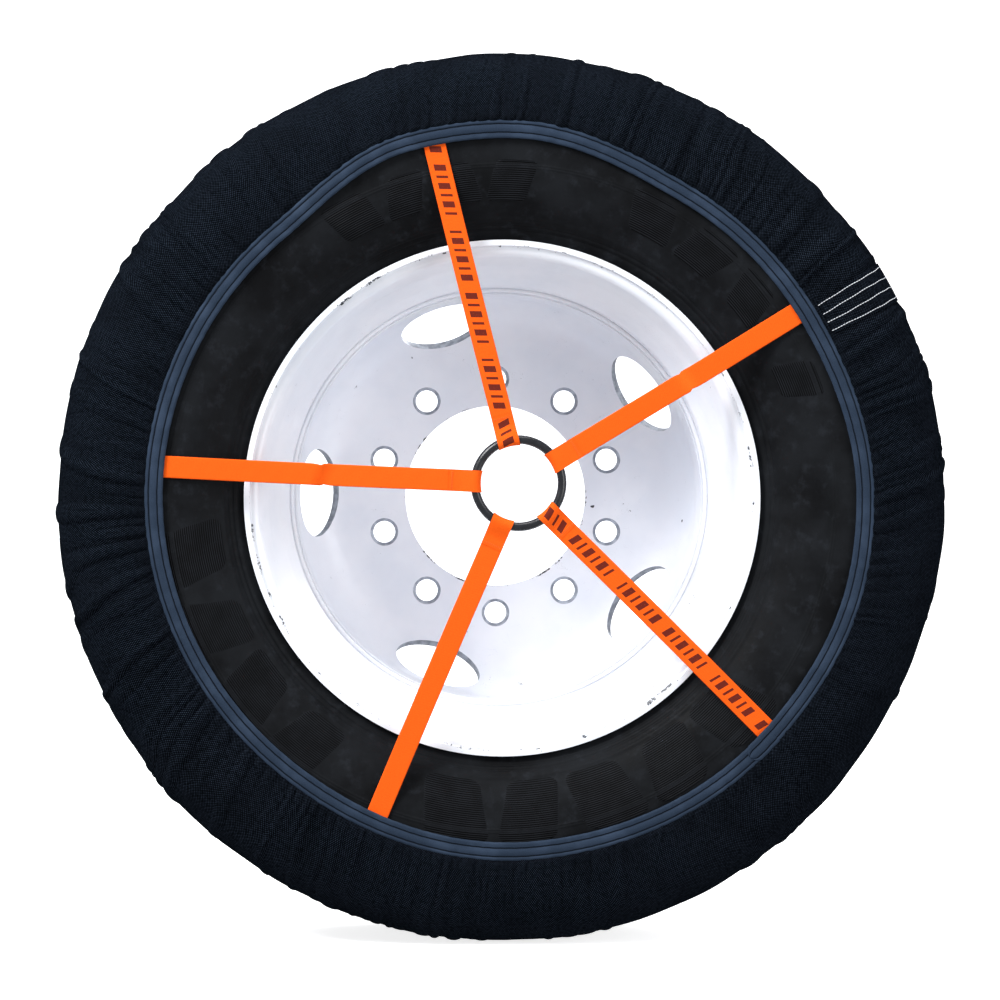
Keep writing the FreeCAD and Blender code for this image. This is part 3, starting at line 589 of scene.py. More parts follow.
bump = add(tree, "ShaderNodeBump", {"Height": moulded, "Strength": 0.2, "Distance": 0.0001})
tree.links.new(bump.outputs[0], shader.inputs["Normal"])


def paint(material, *nodes):
    """Gives CAD pieces a material."""
    for name in nodes:
        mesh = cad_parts[name].data
        mesh.materials.clear()
        mesh.materials.append(material)


paint(nickel, "valve_stem", "valve_nut", "valve_core", "valve_pin")
paint(black_plastic, "valve_cap", "valve_grommet")

# ================================================================ tyre
# Radial tyre, moulded rubber over steel and ply, seated on the rim. The rubber is matte and greyed by dust, with
# rim lines, a fine band line and raised ribbed blocks on the sidewalls.
rubber, tree, shader = new_material("tyre rubber, dusty and scuffed")
radius, place, _ = radius_of(tree)
cloud = add(tree, "ShaderNodeTexNoise", {"Vector": place, "Scale": 13.0, "Detail": 8.0, "Roughness": 0.62}).outputs[0]
blotch = add(
    tree, "ShaderNodeTexNoise", {"Vector": place, "Scale": 60.0, "Detail": 6.0, "Roughness": 0.66}
).outputs[0]
grain = add(tree, "ShaderNodeTexNoise", {"Vector": place, "Scale": 900.0, "Detail": 3.0}).outputs[0]
base = add(
    tree, "ShaderNodeMix",
    {
        0: add(
            tree, "ShaderNodeMapRange", {"Value": cloud, "From Min": 0.32, "From Max": 0.68},
            interpolation_type="SMOOTHSTEP"
        ),
        6: linear("#0A0B0D"), 7: linear("#17191C")
    },
    data_type="RGBA"
).outputs[2]
base = add(
    tree, "ShaderNodeMix",
    {
        0: add(
            tree, "ShaderNodeMapRange",
            {"Value": blotch, "From Min": 0.5, "From Max": 0.72, "To Min": 0.0, "To Max": 0.45},
            interpolation_type="SMOOTHSTEP"
        ),
        6: base, 7: linear("#24272C")
    },
    data_type="RGBA"
).outputs[2]
nicks = add(
    tree, "ShaderNodeMapRange",
    {
        "Value": add(tree, "ShaderNodeTexVoronoi", {"Vector": place, "Scale": 95.0}), "From Min": 0.06,
        "From Max": 0.045, "To Min": 0.0, "To Max": 0.6
    },
    interpolation_type="SMOOTHSTEP"
).outputs[0]
base = add(
    tree, "ShaderNodeMix",
    {
        0: add(
            tree, "ShaderNodeMath",
            {
                0: nicks,
                1: add(
                    tree, "ShaderNodeMapRange", {"Value": blotch, "From Min": 0.52, "From Max": 0.6},
                    interpolation_type="SMOOTHSTEP"
                )
            },
            operation="MULTIPLY"
        ),
        6: base, 7: linear("#07080A")
    },
    data_type="RGBA"
).outputs[2]
tree.links.new(base, shader.inputs["Base Color"])
shader.inputs["Specular IOR Level"].default_value = 0.06
tree.links.new(
    add(
        tree, "ShaderNodeMapRange", {"Value": cloud, "From Min": 0.3, "From Max": 0.7, "To Min": 0.5, "To Max": 0.68},
        interpolation_type="SMOOTHSTEP"
    ).outputs[0],
    shader.inputs["Roughness"]
)
height = add(
    tree, "ShaderNodeMath",
    {
        0: add(tree, "ShaderNodeMath", {0: blotch, 1: 0.6}, operation="MULTIPLY"),
        1: add(tree, "ShaderNodeMath", {0: grain, 1: 0.25}, operation="MULTIPLY")
    },
    operation="ADD"
).outputs[0]
bump = add(tree, "ShaderNodeBump", {"Height": height, "Strength": 0.35, "Distance": 0.0006})
tree.links.new(bump.outputs[0], shader.inputs["Normal"])

RIM_CENTRE = (rim_front + rim_back) / 2
HALF_SECTION = 144.5
HALF_RIM = 104.775
sidewall_corners = [
    (277.0, 72.0, 0),
    (BEAD_RADIUS, HALF_RIM, 5),
    (292.1, HALF_RIM, 6),
    (303.45, 110.5, 40),
    (349.9, HALF_SECTION, 110),
    (449.9, HALF_SECTION, 150),
    (485.0, 125.5, 0),
]


def sidewall_face():
    """The sidewall's outside as (radius, width from the rim's centre) in mm, with its moulded lines."""
    line = rounded(sidewall_corners, steps=14)
    fine = [line[0]]
    for a, b in zip(line, line[1:]):
        parts = max(1, int(np.linalg.norm(b - a) / 0.8))
        fine += [a + (b - a) * k / parts for k in range(1, parts + 1)]
    fine = np.array(fine)
    slope = np.gradient(fine, axis=0)
    slope /= np.linalg.norm(slope, axis=1)[:, None]
    out = np.stack([-slope[:, 1], slope[:, 0]], 1)
    rise = np.zeros(len(fine))
    for middle, width, height in (
        (309.0, 1.6, -1.0), (314.5, 1.3, -0.8), (322.0, 2.6, 0.9), (381.0, 1.0, 0.5), (384.0, 1.0, 0.5)
    ):
        rise += height * np.exp(-(((fine[:, 0] - middle) / width) ** 2))
    rise *= fine[:, 0] > 300
    return fine + out * rise[:, None]


def sidewall_width(radius):
    """How far the sidewall stands from the rim's centre at a radius, in mm."""
    line = rounded(sidewall_corners, steps=14)
    upper = line[line[:, 0] > 295]
    return np.interp(radius, upper[:, 0], upper[:, 1])


def sidewall(name, side, node):
    """One sidewall, with an inner face so that it has body: side is 1 at the street, -1 at the vehicle."""
    face = sidewall_face()
    inside = np.array([(478.0, 108.0), (440.0, 131.5), (390.0, 131.5), (345.0, 126.0), (300.0, 78.0)])
    outline = np.concatenate([face, inside])
    outline = np.stack([outline[:, 0], RIM_CENTRE - side * outline[:, 1]], 1)
    made = outwards(lathe(name, outline, [rubber]))
    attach(made, "wheel")
    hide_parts(node)
    return made


sidewall("street_sidewall", 1, "outer_sidewall")
sidewall("vehicle_sidewall", -1, "inner_sidewall")
paint(rubber, "tyre_tread", "outer_bead_filler", "inner_bead_filler", "inner_liner")
ply_cord, tree, shader = new_material("rubberised ply cord")
_, place, _ = radius_of(tree)
cords = add(tree, "ShaderNodeTexWave", {"Vector": place, "Scale": 160.0, "Distortion": 0.4}).outputs[0]
tree.links.new(
    add(tree, "ShaderNodeMix", {0: cords, 6: linear("#2B241C"), 7: linear("#5A4A38")}, data_type="RGBA").outputs[2],
    shader.inputs["Base Color"]
)
shader.inputs["Roughness"].default_value = 0.7
paint(ply_cord, "casing_ply")
wire, tree, shader = new_material("brass-coated steel cord in rubber")
_, place, _ = radius_of(tree)
strands = add(tree, "ShaderNodeTexWave", {"Vector": place, "Scale": 220.0, "Distortion": 0.3}).outputs[0]
tree.links.new(
    add(tree, "ShaderNodeMix", {0: strands, 6: linear("#4C4A46"), 7: linear("#8F8774")}, data_type="RGBA").outputs[2],
    shader.inputs["Base Color"]
)
shader.inputs["Metallic"].default_value = 0.7
shader.inputs["Roughness"].default_value = 0.45
paint(wire, "steel_belts", "outer_bead_wire", "inner_bead_wire")


# Raised slanted blocks moulded into the sidewall, with an edge line and fine ribs that follow the wheel's circle.
# The grooves between the ribs are painted black as painted shade, so the blocks look darker than the plain rubber.
ribbed_rubber, tree, shader = new_material("tyre rubber, ribbed, painted shade in the grooves")
RIB_PITCH = 2.4
radius, place, _ = radius_of(tree)
blotch = add(tree, "ShaderNodeTexNoise", {"Vector": place, "Scale": 45.0, "Detail": 5.0}).outputs[0]
# The colour runs to black in each groove between ribs: painted shade.
groove = add(
    tree, "ShaderNodeMath",
    {0: add(tree, "ShaderNodeMath", {0: radius, 1: RIB_PITCH * MM}, operation="DIVIDE"), 1: 0.5}, operation="PINGPONG"
).outputs[0]
groove = add(
    tree, "ShaderNodeMath",
    {
        0: add(
            tree, "ShaderNodeMapRange", {"Value": groove, "From Min": 0.1, "From Max": 0.4},
            interpolation_type="SMOOTHSTEP"
        ),
        1: add(
            tree, "ShaderNodeMapRange",
            {"Value": blotch, "From Min": 0.3, "From Max": 0.7, "To Min": 0.6, "To Max": 1.0},
            interpolation_type="SMOOTHSTEP"
        )
    },
    operation="MULTIPLY"
).outputs[0]
tree.links.new(
    add(tree, "ShaderNodeMix", {0: groove, 6: linear("#000000"), 7: linear("#1A1C20")}, data_type="RGBA").outputs[2],
    shader.inputs["Base Color"]
)
shader.inputs["Roughness"].default_value = 0.6
shader.inputs["Specular IOR Level"].default_value = 0.06


def ribbed_blocks(name, side, blocks):
    """Blocks given as (middle angle, width, lean) in degrees and (low, high) radius in mm, all one piece."""
    vertices, faces = [], []
    for middle, width, lean, low, high in blocks:
        rows, columns = int((high - low) / 0.52), 14
        base = len(vertices)
        for i in range(rows + 1):
            t = 2 * i / rows - 1
            r = low + (high - low) * i / rows
            corner = max(0.0, (abs(t) - 0.74) / 0.26)
            half = width / 2 * (1 - 0.42 * (1 - math.sqrt(max(0.0, 1 - corner * corner))))
            for k in range(columns + 1):
                s = 2 * k / columns - 1
                edge = min((1 - abs(t)) * (high - low) / 2, (1 - abs(s)) * math.radians(half) * r)
                rib = 0.6 * (1 - abs(2 * ((r / RIB_PITCH) % 1.0) - 1))
                rise = 0.1 + rib if edge > 1.7 else (0.7 if edge > 0.3 else -0.35)
                turn = math.radians(middle + lean * t / 2 + s * half)
                y = RIM_CENTRE - side * (sidewall_width(r) + rise)
                vertices.append((r * math.cos(turn) * MM, y * MM, r * math.sin(turn) * MM))
        for i in range(rows):
            for k in range(columns):
                a = base + i * (columns + 1) + k
                quad = (a, a + 1, a + columns + 2, a + columns + 1)
                faces.append(quad[::-1] if side > 0 else quad)
    made = add_object(name, vertices, faces, [ribbed_rubber])
    made.data.set_sharp_from_angle(angle=math.radians(35))
    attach(made, "wheel")
    return made


LOWER_ARC = [
    (190, 11, 2.5), (204, 10, -2.5), (217.5, 11, 2.5), (231, 10, -2.5), (261, 12, 2.5), (275, 11, -2.0),
    (289, 12, 2.5), (303, 11, -2.0), (317, 12, 2.5)
]
UPPER_ARC = [
    (118, 9, 2.0), (108, 7, -2.0), (98.5, 8, 2.0), (88.5, 8, -2.0), (62, 9, 2.0), (50.5, 9, -2.0), (39, 8, 2.0),
    (22, 7, -2.0)
]
lower = [(middle, width, lean, 326.0, 396.0) for middle, width, lean in LOWER_ARC]
upper = [(middle, width, lean, 342.0, 389.0) for middle, width, lean in UPPER_ARC]
ribbed_blocks("street_blocks", 1, lower + upper)
ribbed_blocks(
    "vehicle_blocks", -1,
    [(180 - middle, width, -lean, low, high) for middle, width, lean, low, high in lower + upper]
)

# ================================================================ sock cloth
# Black woven polyester, cut as straight strips and gathered on to elastic at both edges: the spare length stands up
# in rounded hills with sharp valleys between, which run out from the sewn edge and fade towards the tread.
cloth, tree, shader = new_material("woven polyester, black with a blue cast")
cut = add(tree, "ShaderNodeUVMap", uv_map="cut").outputs[0]
split = add(tree, "ShaderNodeSeparateXYZ", {0: cut})
warp, weft = split.outputs[0], split.outputs[1]
# The real yarns lie 0.8 mm apart, too fine to see: drawn as the coarser speckle they make together.
WEAVE_PITCH = 0.0029
slant_a = add(
    tree, "ShaderNodeMath", {0: add(tree, "ShaderNodeMath", {0: warp, 1: weft}, operation="ADD"), 1: WEAVE_PITCH},
    operation="DIVIDE"
).outputs[0]
slant_b = add(
    tree, "ShaderNodeMath",
    {0: add(tree, "ShaderNodeMath", {0: warp, 1: weft}, operation="SUBTRACT"), 1: WEAVE_PITCH}, operation="DIVIDE"
).outputs[0]
weave = add(
    tree, "ShaderNodeMath",
    {
        0: add(tree, "ShaderNodeMath", {0: slant_a, 1: 0.5}, operation="PINGPONG"),
        1: add(tree, "ShaderNodeMath", {0: slant_b, 1: 0.5}, operation="PINGPONG")
    },
    operation="MULTIPLY"
).outputs[0]
weave = add(
    tree, "ShaderNodeMapRange", {"Value": weave, "From Min": 0.03, "From Max": 0.2}, interpolation_type="SMOOTHSTEP"
).outputs[0]
slub = add(tree, "ShaderNodeTexNoise", {"Vector": cut, "Scale": 260.0, "Detail": 3.0}).outputs[0]
haze = add(tree, "ShaderNodeTexNoise", {"Vector": cut, "Scale": 22.0, "Detail": 4.0}).outputs[0]
speckle = add(
    tree, "ShaderNodeMath",
    {
        0: weave,
        1: add(
            tree, "ShaderNodeMapRange",
            {"Value": slub, "From Min": 0.3, "From Max": 0.62, "To Min": 0.35, "To Max": 1.0},
            interpolation_type="SMOOTHSTEP"
        )
    },
    operation="MULTIPLY"
).outputs[0]
colour = add(
    tree, "ShaderNodeMix", {0: speckle, 6: linear("#010203"), 7: linear("#343C49")}, data_type="RGBA"
).outputs[2]
colour = add(
    tree, "ShaderNodeMix",
    {
        0: add(
            tree, "ShaderNodeMapRange",
            {"Value": haze, "From Min": 0.4, "From Max": 0.7, "To Min": 0.0, "To Max": 0.3},
            interpolation_type="SMOOTHSTEP"
        ),
        6: colour, 7: linear("#040506")
    },
    data_type="RGBA"
).outputs[2]
tree.links.new(colour, shader.inputs["Base Color"])
shader.inputs["Roughness"].default_value = 0.75
shader.inputs["Specular IOR Level"].default_value = 0.0
crumpled = add(tree, "ShaderNodeMapping", {"Vector": cut, "Scale": (3.2, 1.0, 1.0)}).outputs[0]
crease = add(
    tree, "ShaderNodeTexNoise", {"Vector": crumpled, "Scale": 17.0, "Detail": 5.0, "Distortion": 0.6}
).outputs[0]
weave = add(
    tree, "ShaderNodeMath", {0: add(tree, "ShaderNodeMath", {0: weave, 1: 0.06}, operation="MULTIPLY"), 1: crease},
    operation="ADD"
).outputs[0]
bump = add(tree, "ShaderNodeBump", {"Height": weave, "Strength": 0.9, "Distance": 0.009})
tree.links.new(bump.outputs[0], shader.inputs["Normal"])

CUT_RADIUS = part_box("tread_fabric")[1].x / MM
BINDING_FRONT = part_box("outer_binding")[0].y / MM
BINDING_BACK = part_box("outer_binding")[1].y / MM
BINDING_MIDDLE = (BINDING_FRONT + BINDING_BACK) / 2
TAPE_WIDTH = 21.0
# The street-side opening: its radius in mm by angle, pulled out where a strap is tight and straight between.
OPENING = [
    (0, 406), (30, 398), (60, 397), (88, 413), (105, 412), (130, 389), (175, 390), (230, 386), (275, 395), (318, 401),
    (346, 407)
]
SEAM_MIDDLE, SEAM_HALF = 29.3, 2.9


def opening_radius(turn):
    """The opening's inner radius in mm at angles given in radians."""
    degrees = np.degrees(turn) % 360
    at = np.array([a for a, _ in OPENING] + [OPENING[0][0] + 360], float)
    value = np.array([r for _, r in OPENING] + [OPENING[0][1]], float)
    k = np.clip(np.searchsorted(at, degrees, side="right") - 1, 0, len(OPENING) - 1)
    t = (degrees - at[k]) / (at[k + 1] - at[k])
    t = t * t * (3 - 2 * t)
    return value[k] * (1 - t) + value[k + 1] * t


COLUMNS = 1800


def gathers(turn, t, seed, count, height, long_share):
    """Height of the gathers in mm at angles turn and ways t out from the sewn edge: count hills, some long, most
    short."""
    chooser = np.random.default_rng(seed)
    width = chooser.uniform(0.45, 1.6, count)
    width *= 360 / width.sum()
    edges = np.concatenate([[0], np.cumsum(width)])
    rise = chooser.uniform(0.55, 1.0, count) * height
    reach = np.where(
        chooser.uniform(size=count) < long_share, chooser.uniform(0.6, 1.5, count), chooser.uniform(0.16, 0.42, count)
    )
    degrees = np.degrees(turn)
    wander = 5 * np.sin(turn * 2 + 0.5) + 3 * np.sin(turn * 3 + 2) + 1.7 * np.sin(turn * 5 + seed) + 0.9 * np.sin(
        turn * 13 + 2 * t
    ) + 0.5 * np.sin(turn * 31 + 5 * t)
    degrees = (degrees - t * wander) % 360
    k = np.clip(np.searchsorted(edges, degrees, side="right") - 1, 0, count - 1)
    way = np.clip((degrees - edges[k]) / width[k], 0, 1)
    dome = (4 * way * (1 - way)) ** 0.6
    fade = np.exp(-((t / reach[k]) ** 1.4)) * np.clip((t - 0.035) / 0.085, 0, 1)
    return dome * rise[k] * fade


def seam_calm(turn):
    """0 in the closing seam, rising to 1 beside it."""
    away = np.abs((np.degrees(turn) - SEAM_MIDDLE + 180) % 360 - 180)
    return np.clip((away - SEAM_HALF) / 1.6, 0, 1)


def panel(name, outline_at, rows, cut_rows, height_at, edges=(None, None)):
    """A ring of cloth. outline_at(turn, t) gives (radius, y) in mm and an outward direction, height_at(turn, t) the
    folds, cut_rows the cut's width. edges are rows of points that its first and last row are sewn to."""
    turn = np.linspace(0, 2 * np.pi, COLUMNS, endpoint=False)[:, None]
    t = np.linspace(0, 1, rows)[None]
    radius, depth, out_r, out_y = outline_at(turn, t)
    rise = height_at(turn, t) * seam_calm(turn)
    radius, depth = radius + out_r * rise, depth + out_y * rise
    points = np.stack([radius * np.cos(turn), depth, radius * np.sin(turn)], -1) * MM
    for which, row in enumerate(edges):
        if row is not None:
            gap = row - points[:, -1 if which else 0]
            for k in range(8):
                points[:, -1 - k if which else k] += gap * (1 - k / 8) ** 2
    i, k = np.meshgrid(np.arange(COLUMNS), np.arange(rows - 1), indexing="ij")
    j = (i + 1) % COLUMNS
    faces = np.stack([i * rows + k, i * rows + k + 1, j * rows + k + 1, j * rows + k], -1).reshape(-1, 4)
    made = add_object(name, points.reshape(-1, 3), faces, [cloth])
    layer = made.data.uv_layers.new(name="cut")
    u = np.stack([i, i, i + 1, i + 1], -1).reshape(-1) / COLUMNS * 2 * math.pi * CUT_RADIUS * MM
    v = np.stack([k, k + 1, k + 1, k], -1).reshape(-1) / (rows - 1) * cut_rows * MM
    layer.data.foreach_set("uv", np.stack([u, v], -1).astype(np.float32).ravel())
    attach(made, "sock")
    return made, points


def billow(turn, t, seed):
    """Slow unevenness of the cloth between its edges, in mm."""
    slow = np.sin(turn * 5 + seed) + 0.8 * np.sin(
        turn * 11 + 2.1 * t + seed
    ) + 0.6 * np.sin(turn * 19 - 3 * t) + 0.5 * np.sin(turn * 37 + 4 * t)
    return 0.75 * (slow + 1.5)


SHOULDER_FRONT = (CUT_RADIUS - 3.4, RIM_CENTRE - 110)
street_line = smooth_path([
    (0.0, BINDING_MIDDLE), (0.16, BINDING_MIDDLE + 0.7), (0.42, BINDING_MIDDLE + 4.2), (0.66, BINDING_MIDDLE + 11.5),
    (0.84, BINDING_MIDDLE + 22.0), (0.955, BINDING_MIDDLE + 33.5), (1.0, SHOULDER_FRONT[1]),
], 12)


def street_outline(turn, t):
    """From inside the binding tape out over the bulge to the shoulder. The first column of street_line is a share
    of the way."""
    along = np.linspace(0, 1, len(street_line))
    share, depth = np.interp(t, along, street_line[:, 0]), np.interp(t, along, street_line[:, 1])
    inner = opening_radius(turn) + TAPE_WIDTH - 6
    radius = inner + (SHOULDER_FRONT[0] - inner) * share
    slope_r = np.gradient(radius, axis=1)
    slope_y = np.gradient(np.broadcast_to(depth, radius.shape), axis=1)
    size = np.hypot(slope_r, slope_y)
    return radius, np.broadcast_to(depth, radius.shape), slope_y / size, -slope_r / size


STREET_CUT = 128.0


def street_folds(turn, t):
    return gathers(turn, t, 3, 196, 6.4, 0.4) + billow(turn, t, 1.0) * np.sin(np.pi * np.minimum(t, 0.5)) ** 2


street_panel, street_points = panel("street_side_cloth", street_outline, 46, STREET_CUT, street_folds)
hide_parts("outer_side_fabric")


def tread_outline(turn, t):
    """Across the tread from shoulder to shoulder, a little slack."""
    half = 110.0
    width = half - 2 * half * t
    radius = CUT_RADIUS - 1.2 - 3.4 * (np.abs(width) / half) ** 2.2 + 0 * turn
    depth = RIM_CENTRE - width + 0 * turn
    return radius, depth, np.ones_like(radius), np.zeros_like(radius)



HEM_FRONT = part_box("inner_binding")[0].y / MM
HEM_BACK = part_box("inner_binding")[1].y / MM
HEM_MIDDLE = (HEM_FRONT + HEM_BACK) / 2
HEM_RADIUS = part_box("inner_binding")[1].x / MM
vehicle_line = smooth_path(
    [
        (SHOULDER_FRONT[0], RIM_CENTRE + 110), (509.0, RIM_CENTRE + 119), (497.0, HEM_MIDDLE - 19),
        (476.0, HEM_MIDDLE - 9.5), (452.0, HEM_MIDDLE - 2.5), (440.0, HEM_MIDDLE - 0.6), (HEM_RADIUS - 6, HEM_MIDDLE),
    ],
    10
)


def vehicle_outline(turn, t):
    """From the vehicle-side shoulder down to the hem."""
    along = np.linspace(0, 1, len(vehicle_line))
    radius = np.interp(t, along, vehicle_line[:, 0]) + 0 * turn
    depth = np.interp(t, along, vehicle_line[:, 1]) + 0 * turn
    slope_r, slope_y = np.gradient(radius, axis=1), np.gradient(depth, axis=1)
    size = np.hypot(slope_r, slope_y)
    return radius, depth, slope_y / size, -slope_r / size



def vehicle_folds(turn, t):
    return gathers(turn, 1 - t, 5, 190, 5.6, 0.4) + billow(turn, t, 2.0) * np.sin(np.pi * np.minimum(1 - t, 0.5)) ** 2


vehicle_panel, vehicle_points = panel("vehicle_side_cloth", vehicle_outline, 40, 102.0, vehicle_folds)
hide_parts("inner_side_fabric")


def tread_folds(turn, t):
    """The long folds of both sides run on a little way over the tread and fade."""
    near = gathers(turn, 1 + 1.6 * t, 3, 196, 6.4, 0.4)
    far = gathers(turn, 1 + 1.6 * (1 - t), 5, 190, 5.6, 0.4)
    return near + far + 0.4 * billow(turn, t, 3.0)


tread_panel, _ = panel(
    "tread_cloth", tread_outline, 40, 222.0, tread_folds, (street_points[:, -1], vehicle_points[:, 0])
)
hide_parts("tread_fabric")

# ================================================================ binding tapes
# Blue-grey woven tape folded over the cloth's edge and sewn twice; the elastic inside swells it between the rows.
tape, tree, shader = new_material("woven binding tape, slate blue")
cut = add(tree, "ShaderNodeUVMap", uv_map="cut").outputs[0]
split = add(tree, "ShaderNodeSeparateXYZ", {0: cut})
ribs = add(
    tree, "ShaderNodeMath",
    {0: add(tree, "ShaderNodeMath", {0: split.outputs[0], 1: 0.0006}, operation="DIVIDE"), 1: 1.0},
    operation="PINGPONG"
).outputs[0]
lines = add(
    tree, "ShaderNodeMath",
    {0: add(tree, "ShaderNodeMath", {0: split.outputs[1], 1: 0.0005}, operation="DIVIDE"), 1: 1.0},
    operation="PINGPONG"
).outputs[0]
fibre = add(tree, "ShaderNodeTexNoise", {"Vector": cut, "Scale": 700.0, "Detail": 3.0}).outputs[0]
worn = add(tree, "ShaderNodeTexNoise", {"Vector": cut, "Scale": 30.0, "Detail": 4.0}).outputs[0]
knit = add(
    tree, "ShaderNodeMath",
    {
        0: add(tree, "ShaderNodeMath", {0: ribs, 1: lines}, operation="MULTIPLY"),
        1: add(tree, "ShaderNodeMath", {0: fibre, 1: 0.5}, operation="MULTIPLY")
    },
    operation="ADD"
).outputs[0]
colour = add(
    tree, "ShaderNodeMix",
    {
        0: add(
            tree, "ShaderNodeMapRange", {"Value": knit, "From Min": 0.2, "From Max": 1.2},
            interpolation_type="SMOOTHSTEP"
        ),
        6: linear("#1F2937"), 7: linear("#354356")
    },
    data_type="RGBA"
).outputs[2]
colour = add(
    tree, "ShaderNodeMix",
    {
        0: add(
            tree, "ShaderNodeMapRange",
            {"Value": worn, "From Min": 0.42, "From Max": 0.68, "To Min": 0.0, "To Max": 0.2},
            interpolation_type="SMOOTHSTEP"
        ),
        6: colour, 7: linear("#45546A")
    },
    data_type="RGBA"
).outputs[2]
# Along each stitch row the tape is darkened: partly for the dark thread, partly as painted shade in the sewn-down
# groove.
for row_place in (0.0067, 0.0164):
    beside = add(
        tree, "ShaderNodeMath",
        {0: add(tree, "ShaderNodeMath", {0: split.outputs[1], 1: row_place}, operation="SUBTRACT")},
        operation="ABSOLUTE"
    ).outputs[0]
    colour = add(
        tree, "ShaderNodeMix",
        {
            0: add(
                tree, "ShaderNodeMapRange",
                {"Value": beside, "From Min": 0.0012, "From Max": 0.0003, "To Min": 0.0, "To Max": 0.85},
                interpolation_type="SMOOTHSTEP"
            ),
            6: colour, 7: linear("#0A0E15")
        },
        data_type="RGBA"
    ).outputs[2]
tree.links.new(colour, shader.inputs["Base Color"])
shader.inputs["Roughness"].default_value = 0.72
shader.inputs["Specular IOR Level"].default_value = 0.05
bump = add(tree, "ShaderNodeBump", {"Height": knit, "Strength": 0.5, "Distance": 0.0003})
tree.links.new(bump.outputs[0], shader.inputs["Normal"])

# The tape's section: (distance from its inner edge, height over its middle), round the folded edge and back.
TAPE_SECTION = [
    (0.0, 0.0), (0.5, 1.3), (2.2, 2.1), (5.0, 1.85), (5.9, 1.6), (6.7, 0.7), (7.5, 1.7), (11.4, 2.6), (15.4, 1.8),
    (16.4, 0.7), (17.2, 1.5), (18.4, 1.9), (20.0, 1.6), (21.0, 0.7), (20.8, -1.4), (16.0, -2.1), (8.0, -2.2),
    (2.0, -2.0), (0.4, -1.1),
]


def tape_ring(name, radius_at, middle, side, seed, start=0.0, span=360.0, swell=1.0, lift=0.0, round_end=0.0):
    """Folded tape along radius_at(turn) in mm; side is the way its face looks. swell scales its section."""
    section = smooth_path(TAPE_SECTION, 3, closed=True)
    whole = span >= 360
    steps = 1080 if whole else 60
    turn = np.radians(start + np.linspace(0, span, steps, endpoint=not whole))[:, None]
    chooser = np.random.default_rng(seed)
    waves = sum(chooser.uniform(0.3, 1) * np.sin(turn * f + chooser.uniform(0, 6)) for f in (61, 97, 143, 205))
    across = section[:, 0][None] * swell - (swell - 1) * TAPE_WIDTH / 2
    narrow = np.ones_like(turn)
    if round_end:
        way = (np.degrees(turn) - start) / round_end
        narrow = np.sqrt(np.clip(1 - (1 - np.clip(way, 0, 1)) ** 2, 0.02, 1))
    across = TAPE_WIDTH / 2 + (across - TAPE_WIDTH / 2) * narrow
    height = section[:, 1][None] * swell + lift + waves * 0.1
    radius = radius_at(turn) + across + waves * 0.08
    depth = middle + side * height
    vertices = np.stack([radius * np.cos(turn), depth, radius * np.sin(turn)], -1).reshape(-1, 3) * MM
    rows = len(section)
    spans = steps if whole else steps - 1
    i, k = np.meshgrid(np.arange(spans), np.arange(rows), indexing="ij")
    j, m = (i + 1) % steps, (k + 1) % rows
    faces = np.stack([i * rows + k, i * rows + m, j * rows + m, j * rows + k], -1).reshape(-1, 4)
    made = add_object(name, vertices, faces, [tape])
    layer = made.data.uv_layers.new(name="cut")
    u = np.stack([i, i, i + 1, i + 1], -1).reshape(-1) * (math.radians(span) / steps * 0.41)
    distance = np.where(section[:, 1] > 0, section[:, 0], -section[:, 0] - 1) * MM
    v = distance[np.stack([k, m, m, k], -1).reshape(-1)]
    layer.data.foreach_set("uv", np.stack([u, v], -1).astype(np.float32).ravel())
    if not whole:
        shape = bmesh.new()
        shape.from_mesh(made.data)
        bmesh.ops.holes_fill(shape, edges=[e for e in shape.edges if e.is_boundary])
        shape.to_mesh(made.data)
        shape.free()
    return outwards(made)


street_tape = tape_ring("street_binding", opening_radius, BINDING_MIDDLE, -1, 1)
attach(street_tape, "sock")
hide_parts("outer_binding", "outer_elastic")
tape_lap = tape_ring(
    "street_binding_lap", opening_radius, BINDING_MIDDLE, -1, 2, start=313.6, span=5.2, swell=1.05, lift=0.9,
    round_end=1.3
)
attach(tape_lap, "sock")
hem_radius = HEM_RADIUS - TAPE_WIDTH
vehicle_tape = tape_ring("vehicle_binding", lambda turn: hem_radius + 0 * turn, HEM_MIDDLE, 1, 4)
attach(vehicle_tape, "sock")
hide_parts("inner_binding", "inner_elastic")


# ================================================================ stitches
# Twisted thread: dark on the tapes, white along the closing seam, orange at the loops. Each run is a row of small
# stitches.
def thread(name, hex_low, hex_high):
    material, tree, shader = new_material(name)
    place = add(tree, "ShaderNodeTexCoord").outputs["Object"]
    twist = add(tree, "ShaderNodeTexNoise", {"Vector": place, "Scale": 1500.0, "Detail": 2.0}).outputs[0]
    tree.links.new(
        add(tree, "ShaderNodeMix", {0: twist, 6: linear(hex_low), 7: linear(hex_high)}, data_type="RGBA").outputs[2],
        shader.inputs["Base Color"]
    )
    shader.inputs["Roughness"].default_value = 0.6
    shader.inputs["Specular IOR Level"].default_value = 0.05
    bump = add(tree, "ShaderNodeBump", {"Height": twist, "Strength": 0.4, "Distance": 0.0001})
    tree.links.new(bump.outputs[0], shader.inputs["Normal"])
    return material


dark_thread = thread("dark polyester thread, twisted", "#06080C", "#151B25")
white_thread = thread("white polyester thread, twisted", "#B9BEC8", "#F4F6FA")


